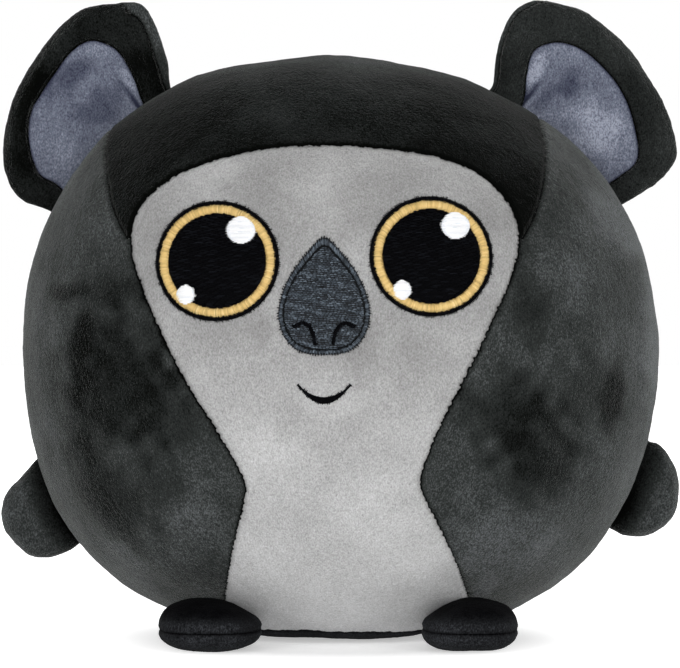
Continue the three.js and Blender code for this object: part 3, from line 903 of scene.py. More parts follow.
# Stitching
def threads(starts, ends, height, radius=thread_radius, raised=0.0):
    """Arched stitches from starts to ends in the front view."""
    share = np.linspace(0, 1, thread_rings)
    flat = starts[:, None] + (ends - starts)[:, None] * share[:, None]
    arch = np.sqrt(np.sin(np.pi * share))
    heights = raised + stitch_dip + (height - stitch_dip) * arch
    centres, normals = on_skin(flat, np.broadcast_to(heights, flat.shape[:2]))
    along = unit(np.gradient(centres, axis=1))
    across = unit(np.cross(along, normals))
    over = np.cross(across, along)
    angles = np.linspace(0, 2 * np.pi, thread_sides, endpoint=False)
    width = radius * (thread_end_share + (1 - thread_end_share) * arch)
    ring = np.cos(angles)[:, None] * across[:, :, None]
    ring = ring + np.sin(angles)[:, None] * over[:, :, None]
    points = centres[:, :, None] + ring * width[:, None, None]
    count = len(starts)
    numbers = np.arange(points[..., 0].size).reshape(count, thread_rings, thread_sides)
    after = np.roll(numbers, -1, axis=2)
    a, b = numbers[:, :-1].ravel(), after[:, :-1].ravel()
    c, d = after[:, 1:].ravel(), numbers[:, 1:].ravel()
    faces = [triples(a, c, b), triples(a, d, c)]
    for step in range(1, thread_sides - 1):
        faces.append(triples(numbers[:, 0, 0], numbers[:, 0, step], numbers[:, 0, step + 1]))
        faces.append(triples(numbers[:, -1, 0], numbers[:, -1, step + 1], numbers[:, -1, step]))
    tones = np.repeat(random.normal(size=count), thread_rings * thread_sides)
    return (points.reshape(-1, 3), np.concatenate(faces)), tones


def dark(stitches):
    """The same stitches in the material's darkest colour."""
    mesh, tones = stitches
    return mesh, np.full(len(tones), dark_tone)


def satin(inner, outer, height, pitch=satin_pitch, ragged=thread_ragged, raised=0.0):
    """Stitches side by side across a band between two lines."""
    count = max(round(length_of((inner + outer) / 2) / pitch), fewest_stitches)
    starts = spaced(inner, count)
    ends = spaced(outer, count)
    across = unit(ends - starts)
    starts = starts - across * random.uniform(-ragged, ragged, (count + 1, 1))
    ends = ends + across * random.uniform(-ragged, ragged, (count + 1, 1))
    return threads(starts, ends, height, raised=raised)


def rows(
    outline,
    height,
    length=stitch_length,
    ragged=thread_ragged,
    wave=0.0,
    raised=0.0,
    pitch=row_pitch,
    radius=thread_radius,
):
    """Rows of stitches across an outline, each row offset from the last."""
    starts = []
    ends = []
    closed = np.concatenate([outline, outline[:1]])
    levels = np.arange(outline[:, 1].min() + pitch / 2, outline[:, 1].max(), pitch)
    for number, level in enumerate(levels):
        low, high = closed[:-1], closed[1:]
        crossing = (low[:, 1] > level) != (high[:, 1] > level)
        share = (level - low[crossing, 1]) / (high[crossing, 1] - low[crossing, 1])
        hits = np.sort(low[crossing, 0] + share * (high[crossing, 0] - low[crossing, 0]))
        left = hits[0] + random.uniform(-ragged, ragged)
        right = hits[-1] + random.uniform(-ragged, ragged)
        offset = length * (number * row_offset_share % 1)
        offset += random.uniform(-row_offset_spread, row_offset_spread)
        stops = np.arange(left - length + offset, right, length)
        stops = stops + random.uniform(-stitch_end_spread, stitch_end_spread, len(stops))
        clear = length * shortest_stitch_share
        stops = stops[(stops > left + clear) & (stops < right - clear)]
        stops = np.concatenate([[left], stops, [right]])
        bend = level + wave * np.sin(stops / row_wave_length + number * row_wave_shift)
        bend = bend + random.uniform(-row_level_spread, row_level_spread, len(stops))
        line = np.stack([stops, bend], axis=1)
        starts.append(line[:-1])
        ends.append(line[1:])
    return threads(np.concatenate(starts), np.concatenate(ends), height, radius, raised)


def strip_backing(inner, outer, height=backing_height):
    """A thin pad under a band of stitches, closed where its lines are."""
    steps = np.linspace(0, 1, strip_steps)[:, None, None]
    flat = inner * (1 - steps) + outer * steps
    points, normals = on_skin(flat, np.full(flat.shape[:2], height))
    numbers = np.arange(flat[..., 0].size).reshape(flat.shape[:2])
    faces = np.concatenate(quads(numbers[:, :-1], numbers[:, 1:]))
    return facing_front((points.reshape(-1, 3), faces), normals.reshape(-1, 3))


def disc_backing(outline, height=backing_height):
    """A thin pad under rows of stitches."""
    middle = outline.mean(axis=0)
    steps = np.linspace(1, 0, disc_rings + 1)[:-1, None, None]
    flat = np.concatenate([(middle + (outline - middle) * steps).reshape(-1, 2), [middle]])
    points, normals = on_skin(flat, np.full(len(flat), height))
    numbers = np.arange(len(flat) - 1).reshape(-1, len(outline))
    after = np.roll(numbers, -1, axis=1)
    centre = np.full(len(outline), len(flat) - 1)
    faces = [*quads(numbers, after), triples(numbers[-1], after[-1], centre)]
    return facing_front((points, np.concatenate(faces)), normals)


def facing_front(mesh, normals):
    """A thin sheet from a mesh, turned so that it faces the front."""
    points, faces = mesh
    if normals_of(mesh)[:, 1].mean() > 0:
        faces = faces[:, ::-1]
    return shell((points, faces), backing_thickness, normals)


def stitched(name, parts, backings, material):
    """One piece of thread: its stitches over their backing, with a tone for each stitch; the backing is
    the underlay, and its darkest tone also paints shade between stitches.
    """
    meshes = [mesh for mesh, _ in parts] + backings
    tones = [tone for _, tone in parts] + [np.full(len(points), dark_tone) for points, _ in backings]
    make(name, joined(meshes), material, np.concatenate(tones))


def loop(outline):
    return np.concatenate([outline, outline[:1]])


def oval(centre, half_width, half_height, steps=96):
    angles = np.linspace(0, 2 * np.pi, steps, endpoint=False)
    return centre + np.stack([np.cos(angles) * half_width, np.sin(angles) * half_height], axis=1)


def eye_centre(sign):
    spread = sign * eye_spacing / 2
    roll = spread * math.tan(math.radians(eye_roll_angle))
    return np.array([face_sway + spread, belly_height + eye_rise + roll])


def eye_oval(sign, inset):
    return oval(eye_centre(sign), eye_half_width - inset, eye_half_height - inset)


def eye_band(sign, *insets):
    return [loop(eye_oval(sign, inset)) for inset in insets]


def eyes():
    inner = eye_outline_width + eye_outline_overlap
    pupil_inset = eye_outline_width + eye_ring_width
    for name, sign in sides:
        outline = satin(*eye_band(sign, inner, -thread_spread / 2), **eye_outline_stitch)
        under = strip_backing(*eye_band(sign, inner, eye_backing_inset))
        stitched(f"eye_outline_{name}", [outline], [under], "black_thread")
        ring = eye_band(sign, pupil_inset + eye_ring_overlap, eye_outline_width - eye_ring_overlap)
        stitches = satin(*ring, **eye_ring_stitch)
        stitched(f"eye_ring_{name}", [stitches], [strip_backing(*ring)], "gold_thread")
        pupil = eye_oval(sign, pupil_inset - eye_ring_overlap)
        stitches = rows(pupil, **pupil_stitch)
        stitched(f"pupil_{name}", [stitches], [disc_backing(pupil)], "black_thread")
        small_size = (small_glint_radius, small_glint_radius)
        glints = {
            f"glint_{name}": (glint_place_shares, (glint_half_width, glint_half_height)),
            f"small_glint_{name}": (small_glint_place_shares, small_size),
        }
        for glint, (shares, size) in glints.items():
            place = eye_centre(sign) + np.array(shares) * (eye_half_width, eye_half_height)
            spot = oval(place, *size)
            stitches = rows(spot, **glint_stitch)
            bed = disc_backing(grown(spot, -glint_backing_inset), backing_height + glint_backing_rise)
            stitched(glint, [stitches], [bed], "white_thread")


def nose_foot(inset):
    """The lowest point of the nose's outline."""
    return np.array([face_sway, belly_height + nose_tip_rise - nose_height + inset])


def nose_outline(inset):
    height = nose_height - inset * (1 + nose_tip_inset_share)
    half = from_shares(nose_shares, nose_half_width - inset, height)
    return curve(mirrored(half), steps=160, closed=True) + nose_foot(inset)


def nose_band(*insets):
    return [loop(nose_outline(inset)) for inset in insets]


def band(line, half_widths):
    """The two edges of a band along a line."""
    along = unit(np.gradient(line, axis=0))
    across = np.stack([-along[:, 1], along[:, 0]], axis=1) * half_widths[:, None]
    return line + across, line - across


def nose():
    rim = satin(*nose_band(nose_border_width, 0), **nose_border_stitch)
    ticks = satin(*nose_band(nose_border_width / 2, -thread_spread), **nose_tick_stitch)
    under = strip_backing(*nose_band(nose_border_width, nose_backing_inset))
    stitched("nose_border", [rim, dark(ticks)], [under], "slate_thread")
    bed = disc_backing(nose_outline(nose_border_width - nose_bed_overlap))
    stitches = rows(nose_outline(nose_border_width + nose_fill_inset), **nose_fill_stitch)
    stitched("nose_fill", [stitches], [bed], "slate_thread")
    for name, sign in sides:
        line = from_shares(nostril_shares, sign * nose_half_width, nose_height)
        line = curve(line, steps=24, closed=False) + nose_foot(0)
        half_width = np.full(len(line), nostril_width / 2)
        stitches = satin(*band(line, half_width), **nostril_stitch)
        edges = band(line, half_width - nostril_backing_inset)
        under = strip_backing(*edges, backing_height + nostril_backing_rise)
        stitched(f"nostril_{name}", [stitches], [under], "black_thread")


def mouth():
    share = np.linspace(0, 1, mouth_steps)[:, None]
    corner_z = belly_height - mouth_drop
    left = np.array([face_sway - mouth_half_width, corner_z])
    right = np.array([face_sway + mouth_half_width, corner_z])
    low = np.array([face_sway, corner_z - 2 * mouth_depth])
    line = left * (1 - share) ** 2 + low * 2 * share * (1 - share) + right * share**2
    swell = np.maximum(np.sin(np.pi * share[:, 0]), mouth_end_share)
    half_width = mouth_thickness / 2 * swell
    stitches = satin(*band(line, half_width + thread_spread), **mouth_stitch)
    stitched("mouth", [stitches], [strip_backing(*band(line, half_width))], "black_thread")


# Limbs: each has its own frame, with X along its seam, Y outwards and Z to the front
def limb_frame(seat_angle, tilt, sign, sink):
    """The limb's own axes as rows, and its origin on the body's skin."""
    seat = math.radians(seat_angle)
    lean = math.radians(tilt)
    origin = body_points(np.array([[sign * math.cos(seat), 0, math.sin(seat)]]))[0]
    origin[1] = side_seam_y
    outward = np.array([sign * math.cos(lean), 0, math.sin(lean)])
    along = np.array([-sign * math.sin(lean), 0, math.cos(lean)])
    return np.array([along, outward, (0, -1, 0)]), origin - outward * sink


def placed(mesh, limb):
    axes, origin = limb
    points, faces = mesh
    if np.linalg.det(axes) < 0:
        faces = faces[:, ::-1]
    return points @ axes + origin, faces


def trimmed(mesh):
    """The part of a limb that stands out of the body's skin, with a short root under it."""
    return cut(mesh, body_height(mesh[0]) + root_depth)[1]


def pushed_out(mesh, gap):
    """The mesh with the points inside the body moved out to its skin."""
    points, faces = mesh
    depth = np.maximum(gap - body_height(points), 0)
    return points + body_normals(points) * depth[:, None], faces


def limb_cloth(mesh, seams, shade, drawn_in=0):
    """A limb's cloth, drawn in at its seams and folds, with its tone at each point: the nap's shade,
    and painted shade and light.
    """
    points, faces = mesh
    normals = normals_of(mesh)
    height, closeness = seams.height(points)
    height += limb_lump_share * lumps(points * limb_lump_scale)
    height += grain_height * random.normal(size=len(points)) - drawn_in
    cloth = shell((points + normals * height[:, None], faces), cloth_thickness, normals)
    # painted shade along the seams joins the limb's tone
    return cloth, np.tile(shade + limb_seam_painted_shade * closeness, 2)


def pinch(height, share, full_height):
    """A limb is flat where it is sewn in, and full a little further out."""
    return share + (1 - share) * smoothstep(height, -ear_seat_depth, full_height)


def profile_height(profile, share):
    """A smooth profile over the angle of a ball, so that it is round at its rim."""
    shares, heights = np.array(profile).T
    angles = np.arcsin(shares)
    line = curve(np.stack([angles, heights], axis=1), steps=200, closed=False)
    return np.interp(np.arcsin(np.clip(share, 0, 1)), line[:, 0], line[:, 1])


def rooted(visible, depth):
    """A visible outline with a root that runs down into the body."""
    root = np.array([(visible[-1, 0], -depth), (visible[0, 0], -depth)])
    return np.concatenate([visible, root])


def pad_form(outline, middle, profiles, detail):
    """A padded leaf: a ball whose circles become the outline, with a profile in front and behind."""
    offset = outline - middle
    angle = np.arctan2(offset[:, 1], offset[:, 0])
    order = np.argsort(angle)
    directions, faces = ball(detail)
    share = np.hypot(directions[:, 0], directions[:, 1])
    towards = np.arctan2(directions[:, 1], directions[:, 0])
    reach = np.interp(towards, angle[order], np.linalg.norm(offset, axis=1)[order], period=2 * np.pi)
    flat = middle + unit(directions[:, :2] + smallest_step) * (reach * share)[:, None]
    front, back = [np.maximum(profile_height(profile, share), 0) for profile in profiles]
    thick = np.where(directions[:, 2] > 0, front, -back)
    return flat, thick, faces, directions[:, 2]


def thick_profile(profile, thickness, inset):
    return [(share, height * thickness - inset * (share < 1)) for share, height in profile]


# Ears
def ear_curl(along):
    """How far an ear curls forwards at a place along its seam."""
    share = np.abs(along) / ear_reach
    crown = ear_crown_curl_depth * share**3
    return np.where(along > 0, crown, ear_lower_curl_depth * share**2)


def ear_form(shares, inset, detail):
    visible = from_shares(shares, ear_reach, ear_height)
    outline = curve(rooted(visible, ear_root_depth), steps=360, closed=True)
    middle = np.array(ear_centre_shares) * (ear_reach, ear_height)
    front = thick_profile(ear_front_profile, ear_front_thickness, inset)
    back = thick_profile(ear_back_profile, ear_back_thickness, inset)
    flat, thick, faces, facing = pad_form(grown(outline, -inset), middle, (front, back), detail)
    thick = thick * pinch(flat[:, 1], ear_pinch_share, ear_pinch_height)
    return np.column_stack([flat, thick + ear_curl(flat[:, 0])]), faces, facing


def fold_closeness(flat, line):
    """1 at the foot of the fold's line, falling to 0 at its half width and towards its end."""
    line = curve(np.array(line, float), fold_steps, closed=False)
    distance = np.linalg.norm(flat[:, None] - line, axis=2)
    share = distance.argmin(axis=1) / fold_steps
    width = fold_half_width * (fold_root_share + share)
    return np.clip(1 - distance.min(axis=1) / width, 0, 1) * (1 - share)


def ear(name, sign):
    own = ears[name]
    limb = limb_frame(ear_seat_angle, ear_tilt_angle, sign, ear_seat_depth)
    axes, origin = limb
    form, faces, facing = ear_form(own["outline"], 0, limb_detail)
    turned = smoothstep(form[:, 0], *rim_turn_along) * (1 - smoothstep(form[:, 1], *rim_turn_height))
    lining = rooted(from_shares(own["lining"], ear_reach, ear_height), lining_root_depth)
    lining = curve(lining, steps=240, closed=True)
    values = np.column_stack([form, outside(form[:, :2], lining), turned])
    back, front, rim_line = cut((values, faces), (facing - own["rim_turn"] * turned) * ear_reach)
    lining, rim, lining_line = cut(front, front[0][:, 3])
    is_turned = rim_line[:, 0, 4] > turned_seam_share
    lines = [
        (rim_line[is_turned], turned_seam),
        (rim_line[~is_turned], limb_seam),
        (lining_line, lining_seam),
    ]
    seams = Seams([(line[..., :3] @ axes + origin, seam) for line, seam in lines])
    hinge = origin + axes[1] * ear_seat_depth / 2
    moves = {"rides": f"ear_{name}", "hinge": (hinge, hinge + axes[1] * ear_blend_height)}
    pieces = {
        f"ear_back_{name}": (back, "charcoal_plush"),
        f"ear_rim_{name}": (rim, "charcoal_plush"),
        f"ear_lining_{name}": (lining, "blue_grey_plush"),
    }
    for node, (mesh, material) in pieces.items():
        is_lining = mesh is lining
        points, corners = trimmed(placed((mesh[0][:, :3], mesh[1]), limb))
        flat = ((points - origin) @ axes.T)[:, :2]
        folded = fold_closeness(flat, own["fold"]) if is_lining else np.zeros(len(flat))
        # painted shade along the fold, and the lining's strokes, among them painted highlight beside
        # the fold
        shade = brushed_and_painted(flat, own["lining_strokes"] if is_lining else []) + fold_painted_shade * folded
        if mesh is rim:
            shade += own["rim_shade"]
        cloth, tones = limb_cloth((points, corners), seams, shade, fold_depth * folded**2)
        make(node, cloth, material, tones, **moves)
    filling, faces, _ = ear_form(own["outline"], filling_inset, limb_filling_detail)
    lower = filling[:, 0] < 0
    filling[lower, 0] *= pinch(filling[lower, 1], ear_filling_root_share, ear_pinch_height)
    filling = pushed_out(placed((filling, faces), limb), filling_inset)
    make(f"ear_stuffing_{name}", filling, "fibre_filling", **moves)


# Arms
def arm_form(name, inset, detail, limb):
    own = arms[name]
    visible = from_shares(own["outline"], arm_half_length, own["reach"])
    outline = curve(rooted(visible, arm_root_depth), steps=240, closed=True)
    middle = np.array(arm_centre_shares) * (arm_half_length, own["reach"])
    profile = thick_profile(arm_profile, arm_half_thickness, inset)
    flat, thick, faces, _ = pad_form(grown(outline, -inset), middle, (profile, profile), detail)
    thick = thick * pinch(flat[:, 1], arm_pinch_share, arm_pinch_height)
    return placed((np.column_stack([flat, thick]), faces), limb)


def arm(name, sign):
    seat_angle = arms[name]["seat_angle"]
    limb = limb_frame(seat_angle, seat_angle, sign, 0)
    axes, origin = limb
    whole = arm_form(name, 0, limb_detail, limb)
    back, front, line = cut(whole, side_seam_y - whole[0][:, 1])
    seams = Seams([(line, limb_seam)])
    moves = {"rides": f"arm_{name}", "hinge": (origin, origin + axes[1] * arm_blend_height)}
    for node, mesh in ((f"arm_front_{name}", front), (f"arm_back_{name}", back)):
        mesh = trimmed(mesh)
        flat = ((mesh[0] - origin) @ axes.T)[:, :2]
        shade = brushed_and_painted(flat, []) - arm_light
        # painted shade on the arm next to the body
        shade += arm_root_painted_shade * (1 - smoothstep(body_height(mesh[0]), 0, arm_root_painted_shade_height))
        cloth, tones = limb_cloth(mesh, seams, shade)
        make(node, cloth, "charcoal_plush", tones, **moves)
    filling = pushed_out(arm_form(name, filling_inset, limb_filling_detail, limb), filling_inset)
    make(f"arm_stuffing_{name}", filling, "fibre_filling", **moves)


# Feet
def foot_form(name, sign, inset, detail):
    directions, faces = ball(detail)
    reach = (np.abs(directions) ** foot_power).sum(axis=1) ** (-1 / foot_power)
    x, y, z = (directions * reach[:, None]).T
    inner = smoothstep(-sign * x, 0, 1)
    top_height = foot_top_height * (1 + (foot_inner_height_share - 1) * inner)
    height = np.where(z > 0, top_height, foot_sole_depth)
    sizes = (foot_half_widths[name] - inset, foot_half_depth - inset, height - inset)
    points = np.stack([x * sizes[0], y * sizes[1], z * sizes[2]], axis=1)
    middle_y = -(foot_back_share * body_half_depth + foot_half_depth)
    return points + (sign * foot_side_share * body_half_width, middle_y, foot_seam_z), faces


def foot(name, sign):
    whole = foot_form(name, sign, 0, limb_detail)
    sole, top, line = cut(whole, whole[0][:, 2] - foot_seam_z)
    seams = Seams([(line, foot_seam)])
    for node, mesh in ((f"foot_top_{name}", top), (f"foot_sole_{name}", sole)):
        mesh = cut(mesh, body_height(mesh[0]) + foot_root_depth)[1]
        # painted shade on the foot's top, under the belly
        shade = brushed_and_painted(mesh[0][:, :2], []) + foot_top_painted_shade * smoothstep(mesh[0][:, 2], *foot_top_painted_shade_z)
        (points, faces), tones = limb_cloth(mesh, seams, shade)
        points[:, 2] = np.maximum(points[:, 2], 0)
        make(node, (points, faces), "black_plush", tones)
    filling = foot_form(name, sign, filling_inset, limb_filling_detail)
    make(f"foot_stuffing_{name}", pushed_out(filling, filling_inset), "fibre_filling")


# Body panels and filling
panel_materials = {
    "face_belly_panel": "grey_plush",
    "base_panel": "black_plush",
    "forehead_panel": "lying_charcoal_plush",
}


def body():
    panels, seams = body_panels()
    for node, mesh in panels.items():
        cloth, tones = body_cloth(node, mesh, seams)
        make(node, cloth, panel_materials.get(node, "charcoal_plush"), tones)
    directions, faces = ball(body_filling_detail)
    filling = body_points(directions, -filling_inset)
    height = filling_lump_height * ripples(filling, filling_lump_length, "filling") - filling_sink
    filling += body_normals(filling) * height[:, None]
    filling[:, 2] = np.maximum(filling[:, 2], filling_inset)
    make("body_stuffing", (filling, faces), "fibre_filling")


# Pieces
materials = {}
kinds = {"thread": "thread", "filling": "fibre"}


def make(node, mesh, material, tones=None, rides="body", hinge=None):
    """A Blender object from a mesh, on its CAD body unless it has a hinge, in place of its CAD node."""
    kind = kinds.get(material.split("_")[-1], "cloth")
    name = f"{node}_{kind}"
    points, faces = mesh
    data = bpy.data.meshes.new(name)
    data.from_pydata((points * METRES).tolist(), [], faces.tolist())
    data.shade_smooth()
    if tones is not None:
        layer = data.attributes.new("tone", "FLOAT", "POINT")
        layer.data.foreach_set("value", np.asarray(tones, np.float32))
    piece = bpy.data.objects.new(name, data)
    bpy.context.collection.objects.link(piece)
    data.materials.append(materials[material])
    if hinge is None:
        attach(piece, rides)
    else:
        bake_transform(piece)
    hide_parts(node)


# Materials
def linear(colour):
    """An sRGB colour from 0 to 255 as the shader's linear values."""
    parts = np.array(colour) / 255
    return tuple(np.where(parts <= 0.04045, parts / 12.92, ((parts + 0.055) / 1.055) ** 2.4)) + (1.0,)


class Nodes:
    """A node tree, with short calls to add and join nodes."""

    def __init__(self, tree):
        self.tree = tree

    def add(self, kind, **settings):
        made = self.tree.nodes.new(kind)
        for key, value in settings.items():
            setattr(made, key, value)
        return made

    def link(self, source, target):
        if isinstance(source, bpy.types.NodeSocket):
            self.tree.links.new(source, target)
        else:
            target.default_value = source

    def maths(self, operation, *values, **settings):
        made = self.add("ShaderNodeMath", operation=operation, **settings)
        for value, socket in zip(values, made.inputs):
            self.link(value, socket)
        return made.outputs[0]

    def between(self, value, start, end, low, high):
        """Goes evenly from low to high as a value goes from start to end."""
        made = self.add("ShaderNodeMapRange")
        numbers = {"From Min": start, "From Max": end, "To Min": low, "To Max": high}
        for socket, number in numbers.items():
            self.link(number, made.inputs[socket])
        self.link(value, made.inputs["Value"])
        return made.outputs[0]

    def background_rays(self):
        """1 for rays that see the background from the camera, in a gloss or through something clear."""
        path = self.add("ShaderNodeLightPath").outputs
        total = path["Is Camera Ray"]
        for name in ("Is Glossy Ray", "Is Transmission Ray"):
            total = self.maths("ADD", total, path[name], use_clamp=True)
        return total


class Shader(Nodes):
    """A material, its node tree and its place in the object's own axes."""

    def __init__(self, name):
        self.material = bpy.data.materials.new(name)
        self.material.use_nodes = True
        super().__init__(self.material.node_tree)
        self.surface = self.tree.nodes["Principled BSDF"]
        self.place = self.add("ShaderNodeTexCoord").outputs["Object"]

    def scaled_place(self, scale):
        made = self.add("ShaderNodeMapping")
        self.link(self.place, made.inputs["Vector"])
        self.link(scale, made.inputs["Scale"])
        return made.outputs[0]

    def noise(self, size, stretch=(1, 1, 1), detail=2, rough=0.5):
        """Noise whose bumps are about this many millimetres across, longer along the stretched axes."""
        place = self.scaled_place([1 / part for part in stretch])
        made = self.add("ShaderNodeTexNoise")
        values = {"Vector": place, "Scale": 1 / (size * METRES), "Detail": detail, "Roughness": rough}
        for socket, value in values.items():
            self.link(value, made.inputs[socket])
        return made.outputs["Fac"]

    def tone(self):
        return self.add("ShaderNodeAttribute", attribute_name="tone").outputs["Fac"]

    def swing(self, noise, amount, middle):
        """A noise about its own middle, times an amount, about another middle."""
        return self.maths("MULTIPLY_ADD", self.maths("SUBTRACT", noise, 0.5), amount, middle)

    def ramp(self, value, colours):
        """A colour that goes evenly through a list of them as a value goes from 0 to 1."""
        made = self.add("ShaderNodeValToRGB")
        stops = made.color_ramp.elements
        for _ in colours[2:]:
            stops.new(0.5)
        for number, colour in enumerate(colours):
            stops[number].position = number / (len(colours) - 1)
            stops[number].color = linear(colour)
        self.link(value, made.inputs["Fac"])
        return made.outputs["Color"]

    def bump(self, height, distance):
        made = self.add("ShaderNodeBump")
        self.link(distance * METRES, made.inputs["Distance"])
        self.link(1.0, made.inputs["Strength"])
        self.link(height, made.inputs["Height"])
        self.link(made.outputs[0], self.surface.inputs["Normal"])

    def set(self, **values):
        for key, value in values.items():
            self.link(value, self.surface.inputs[key.replace("_", " ")])


def plush(name, colours, sheen_colour, sheen, spread, smudging=0.5, bump=0.35):
    """Short pile: streaks that lie along the nap, soft smudges where it was rubbed, and each point's
    tone, which holds nap marks and painted shade and light, such as painted shade at seams.
    """
    shader = Shader(name)
    fine = shader.noise(size=0.5, stretch=(1, 1, 1.5), detail=2, rough=0.6)
    streaks = shader.noise(size=1.5, stretch=(1, 1, 1.3), detail=3, rough=0.6)
    smudges = shader.noise(size=16, stretch=(1, 1, 1.3), detail=3, rough=0.55)
    value = shader.swing(smudges, smudging * spread, 0.5)
    value = shader.maths("SUBTRACT", value, shader.tone())
    pile = shader.swing(fine, fine_pile_share * spread, 0)
    pile = shader.swing(streaks, streak_share * spread, pile)
    clear = shader.maths("MULTIPLY_ADD", value, *pile_clearness)
    value = shader.maths("MULTIPLY_ADD", pile, clear, value)
    shader.set(Base_Color=shader.ramp(value, colours), Roughness=0.95, Specular_IOR_Level=0.03)
    shader.set(Sheen_Weight=sheen, Sheen_Roughness=0.22, Sheen_Tint=linear(sheen_colour))
    shader.bump(shader.maths("ADD", streaks, fine), bump)
    materials[name] = shader.material


def thread(name, colours, spread, gloss):
    """Glossy thread, with a tone of its own for each stitch."""
    shader = Shader(name)
    fine = shader.noise(size=0.6)
    value = shader.maths("MULTIPLY_ADD", shader.tone(), spread, 0.5)
    value = shader.swing(fine, fine_thread_share * spread, value)
    shader.set(Base_Color=shader.ramp(value, colours), Roughness=0.55, Specular_IOR_Level=gloss)
    shader.bump(fine, distance=0.05)
    materials[name] = shader.material


def fibre(name, colours):
    """Loose filling, in soft tufts."""
    shader = Shader(name)
    wool = shader.noise(size=3, detail=6, rough=0.7)
    shader.set(Base_Color=shader.ramp(wool, colours), Roughness=1.0)
    shader.bump(wool, distance=1.5)
    materials[name] = shader.material


# How far the pile's tone swings within a millimetre or two, and how clear that is in light nap
fine_pile_share = 1.8
streak_share = 0.6
pile_clearness = (1.2, 0.4)
fine_thread_share = 3

charcoal = [(4, 5, 4), (52, 55, 54), (103, 106, 108)]
charcoal_sheen = (205, 207, 205)
black = [(1, 1, 2), (31, 32, 34), (64, 66, 70)]
black_sheen = (150, 152, 158)
grey = [(112, 111, 110), (178, 178, 178), (220, 220, 221)]
grey_sheen = (235, 235, 240)
blue_grey = [(48, 51, 69), (108, 113, 128), (160, 165, 180)]
blue_grey_sheen = (200, 205, 225)
black_thread = [(0, 0, 1), (4, 4, 6), (22, 24, 29)]
gold_thread = [(140, 110, 60), (224, 193, 125), (252, 232, 178)]
white_thread = [(228, 231, 236), (250, 250, 251), (255, 255, 255)]
slate_thread = [(6, 8, 10), (66, 73, 81), (120, 131, 142)]


def all_materials():
    plush("charcoal_plush", charcoal, charcoal_sheen, sheen=0.44, spread=0.7, smudging=0.6, bump=0.5)
    lying = {"sheen": 0.2, "spread": 0.75, "smudging": 0.4, "bump": 0.5}
    plush("lying_charcoal_plush", charcoal, charcoal_sheen, **lying)
    plush("black_plush", black, black_sheen, sheen=0.012, spread=0.9)
    plush("grey_plush", grey, grey_sheen, sheen=0.15, spread=0.55, smudging=0.12)
    plush("blue_grey_plush", blue_grey, blue_grey_sheen, sheen=0.35, spread=0.75)
    thread("black_thread", black_thread, spread=0.14, gloss=0.03)
    thread("gold_thread", gold_thread, spread=0.09, gloss=0.3)
    thread("white_thread", white_thread, spread=0.12, gloss=0.1)
    thread("slate_thread", slate_thread, spread=0.18, gloss=0.15)
    fibre("fibre_filling", [(222, 219, 210), (240, 238, 232)])


# Camera, nearly level in front of the face: the frame's width and the focal length are in pixels
frame_width = 680
focal_pixels = 4454
camera_distance = 1.6
camera_height = 0.122
camera_pitch = -0.5

# Lamps: place, size across and watts
lamps = {
    "key": ((-0.9, -1.6, 0.4), 0.9, 9),
    "fill": ((1.0, -1.6, 0.35), 0.9, 9),
    "low": ((0, -1.7, 0.05), 0.5, 10),
    "rim": ((1.4, 0.5, 0.15), 0.8, 8),
    "back": ((-0.5, 1.8, 0.5), 0.8, 12),
}
lamp_target = (0, 0, 0.1)
white = (1, 1, 1, 1)
horizon_light = 0.65
zenith_light = 0.1

# The floor glows white for the camera, less so under and round the toy, where the dimmer glow paints a
# soft shadow and the real shadow shows too, and a little of that glow lights the toy from below
floor_half_size = 6
floor_colour = (0.85, 0.85, 0.85, 1)
shadow_middle = (0, -0.01, 0)
shadow_narrowing = (1.35, 1, 1)
shadow_reach = (0.075, 0.125)
near_glow = 0.42
under_light = 0.25


def camera():
    data = bpy.data.cameras.new("camera")
    data.sensor_width = 36
    data.lens = focal_pixels * data.sensor_width / frame_width
    made = bpy.data.objects.new("camera", data)
    made.location = (0, -camera_distance, camera_height)
    made.rotation_euler = (math.radians(90 + camera_pitch), 0, 0)
    bpy.context.collection.objects.link(made)
    bpy.context.scene.camera = made


def lamp(name, place, size, watts):
    """A round lamp that faces the toy."""
    data = bpy.data.lights.new(name, "AREA")
    data.shape = "DISK"
    data.size = size
    data.energy = watts
    made = bpy.data.objects.new(name, data)
    made.location = place
    x, y, z = np.array(lamp_target) - np.array(place)
    made.rotation_euler = (math.atan2(math.hypot(x, y), -z), 0, math.atan2(-x, y))
    bpy.context.collection.objects.link(made)


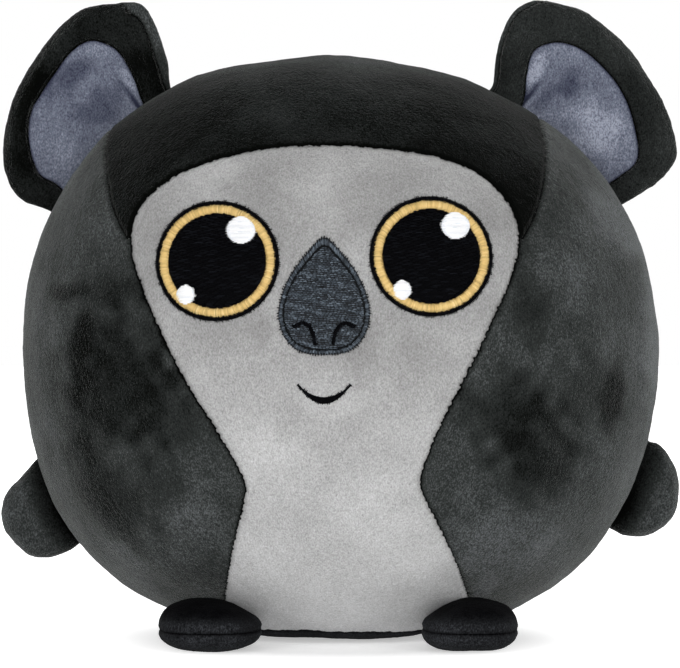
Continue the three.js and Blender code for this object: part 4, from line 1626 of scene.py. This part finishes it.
def world():
    """White where the camera sees it, and a soft light from the horizon for the toy."""
    made = bpy.data.worlds.new("studio")
    made.use_nodes = True
    nodes = Nodes(made.node_tree)
    light = nodes.tree.nodes["Background"]
    place = nodes.add("ShaderNodeTexCoord")
    parts = nodes.add("ShaderNodeSeparateXYZ")
    nodes.link(place.outputs["Generated"], parts.inputs[0])
    height = nodes.between(parts.outputs["Z"], 0, 1, horizon_light, zenith_light)
    seen = nodes.add("ShaderNodeBackground")
    for background, strength in ((light, height), (seen, 1)):
        nodes.link(white, background.inputs["Color"])
        nodes.link(strength, background.inputs["Strength"])
    mix = nodes.add("ShaderNodeMixShader")
    for number, value in enumerate((nodes.background_rays(), light.outputs[0], seen.outputs[0])):
        nodes.link(value, mix.inputs[number])
    nodes.link(mix.outputs[0], nodes.tree.nodes["World Output"].inputs["Surface"])
    bpy.context.scene.world = made


def floor():
    half = floor_half_size
    corners = [(-half, -half, 0), (half, -half, 0), (half, half, 0), (-half, half, 0)]
    data = bpy.data.meshes.new("floor")
    data.from_pydata(corners, [], [(0, 1, 2, 3)])
    made = bpy.data.objects.new("floor", data)
    bpy.context.collection.objects.link(made)
    shader = Shader("floor")
    distance = shader.add("ShaderNodeVectorMath", operation="DISTANCE")
    shader.link(shader.scaled_place(shadow_narrowing), distance.inputs[0])
    shader.link(shadow_middle, distance.inputs[1])
    glow = shader.add("ShaderNodeMix")
    shader.link(shader.background_rays(), glow.inputs["Factor"])
    shader.link(under_light, glow.inputs["A"])
    around = shader.between(distance.outputs["Value"], *shadow_reach, near_glow, 1)
    shader.link(around, glow.inputs["B"])
    shader.set(Base_Color=floor_colour, Roughness=1, Specular_IOR_Level=0)
    shader.set(Emission_Color=white, Emission_Strength=glow.outputs["Result"])
    data.materials.append(shader.material)


def studio():
    camera()
    world()
    floor()
    for name, (place, size, watts) in lamps.items():
        lamp(name, place, size, watts)
    bpy.context.scene.view_settings.view_transform = "Standard"


all_materials()
studio()
body()
eyes()
nose()
mouth()
for side, sign in sides:
    ear(side, sign)
    arm(side, sign)
    foot(side, sign)
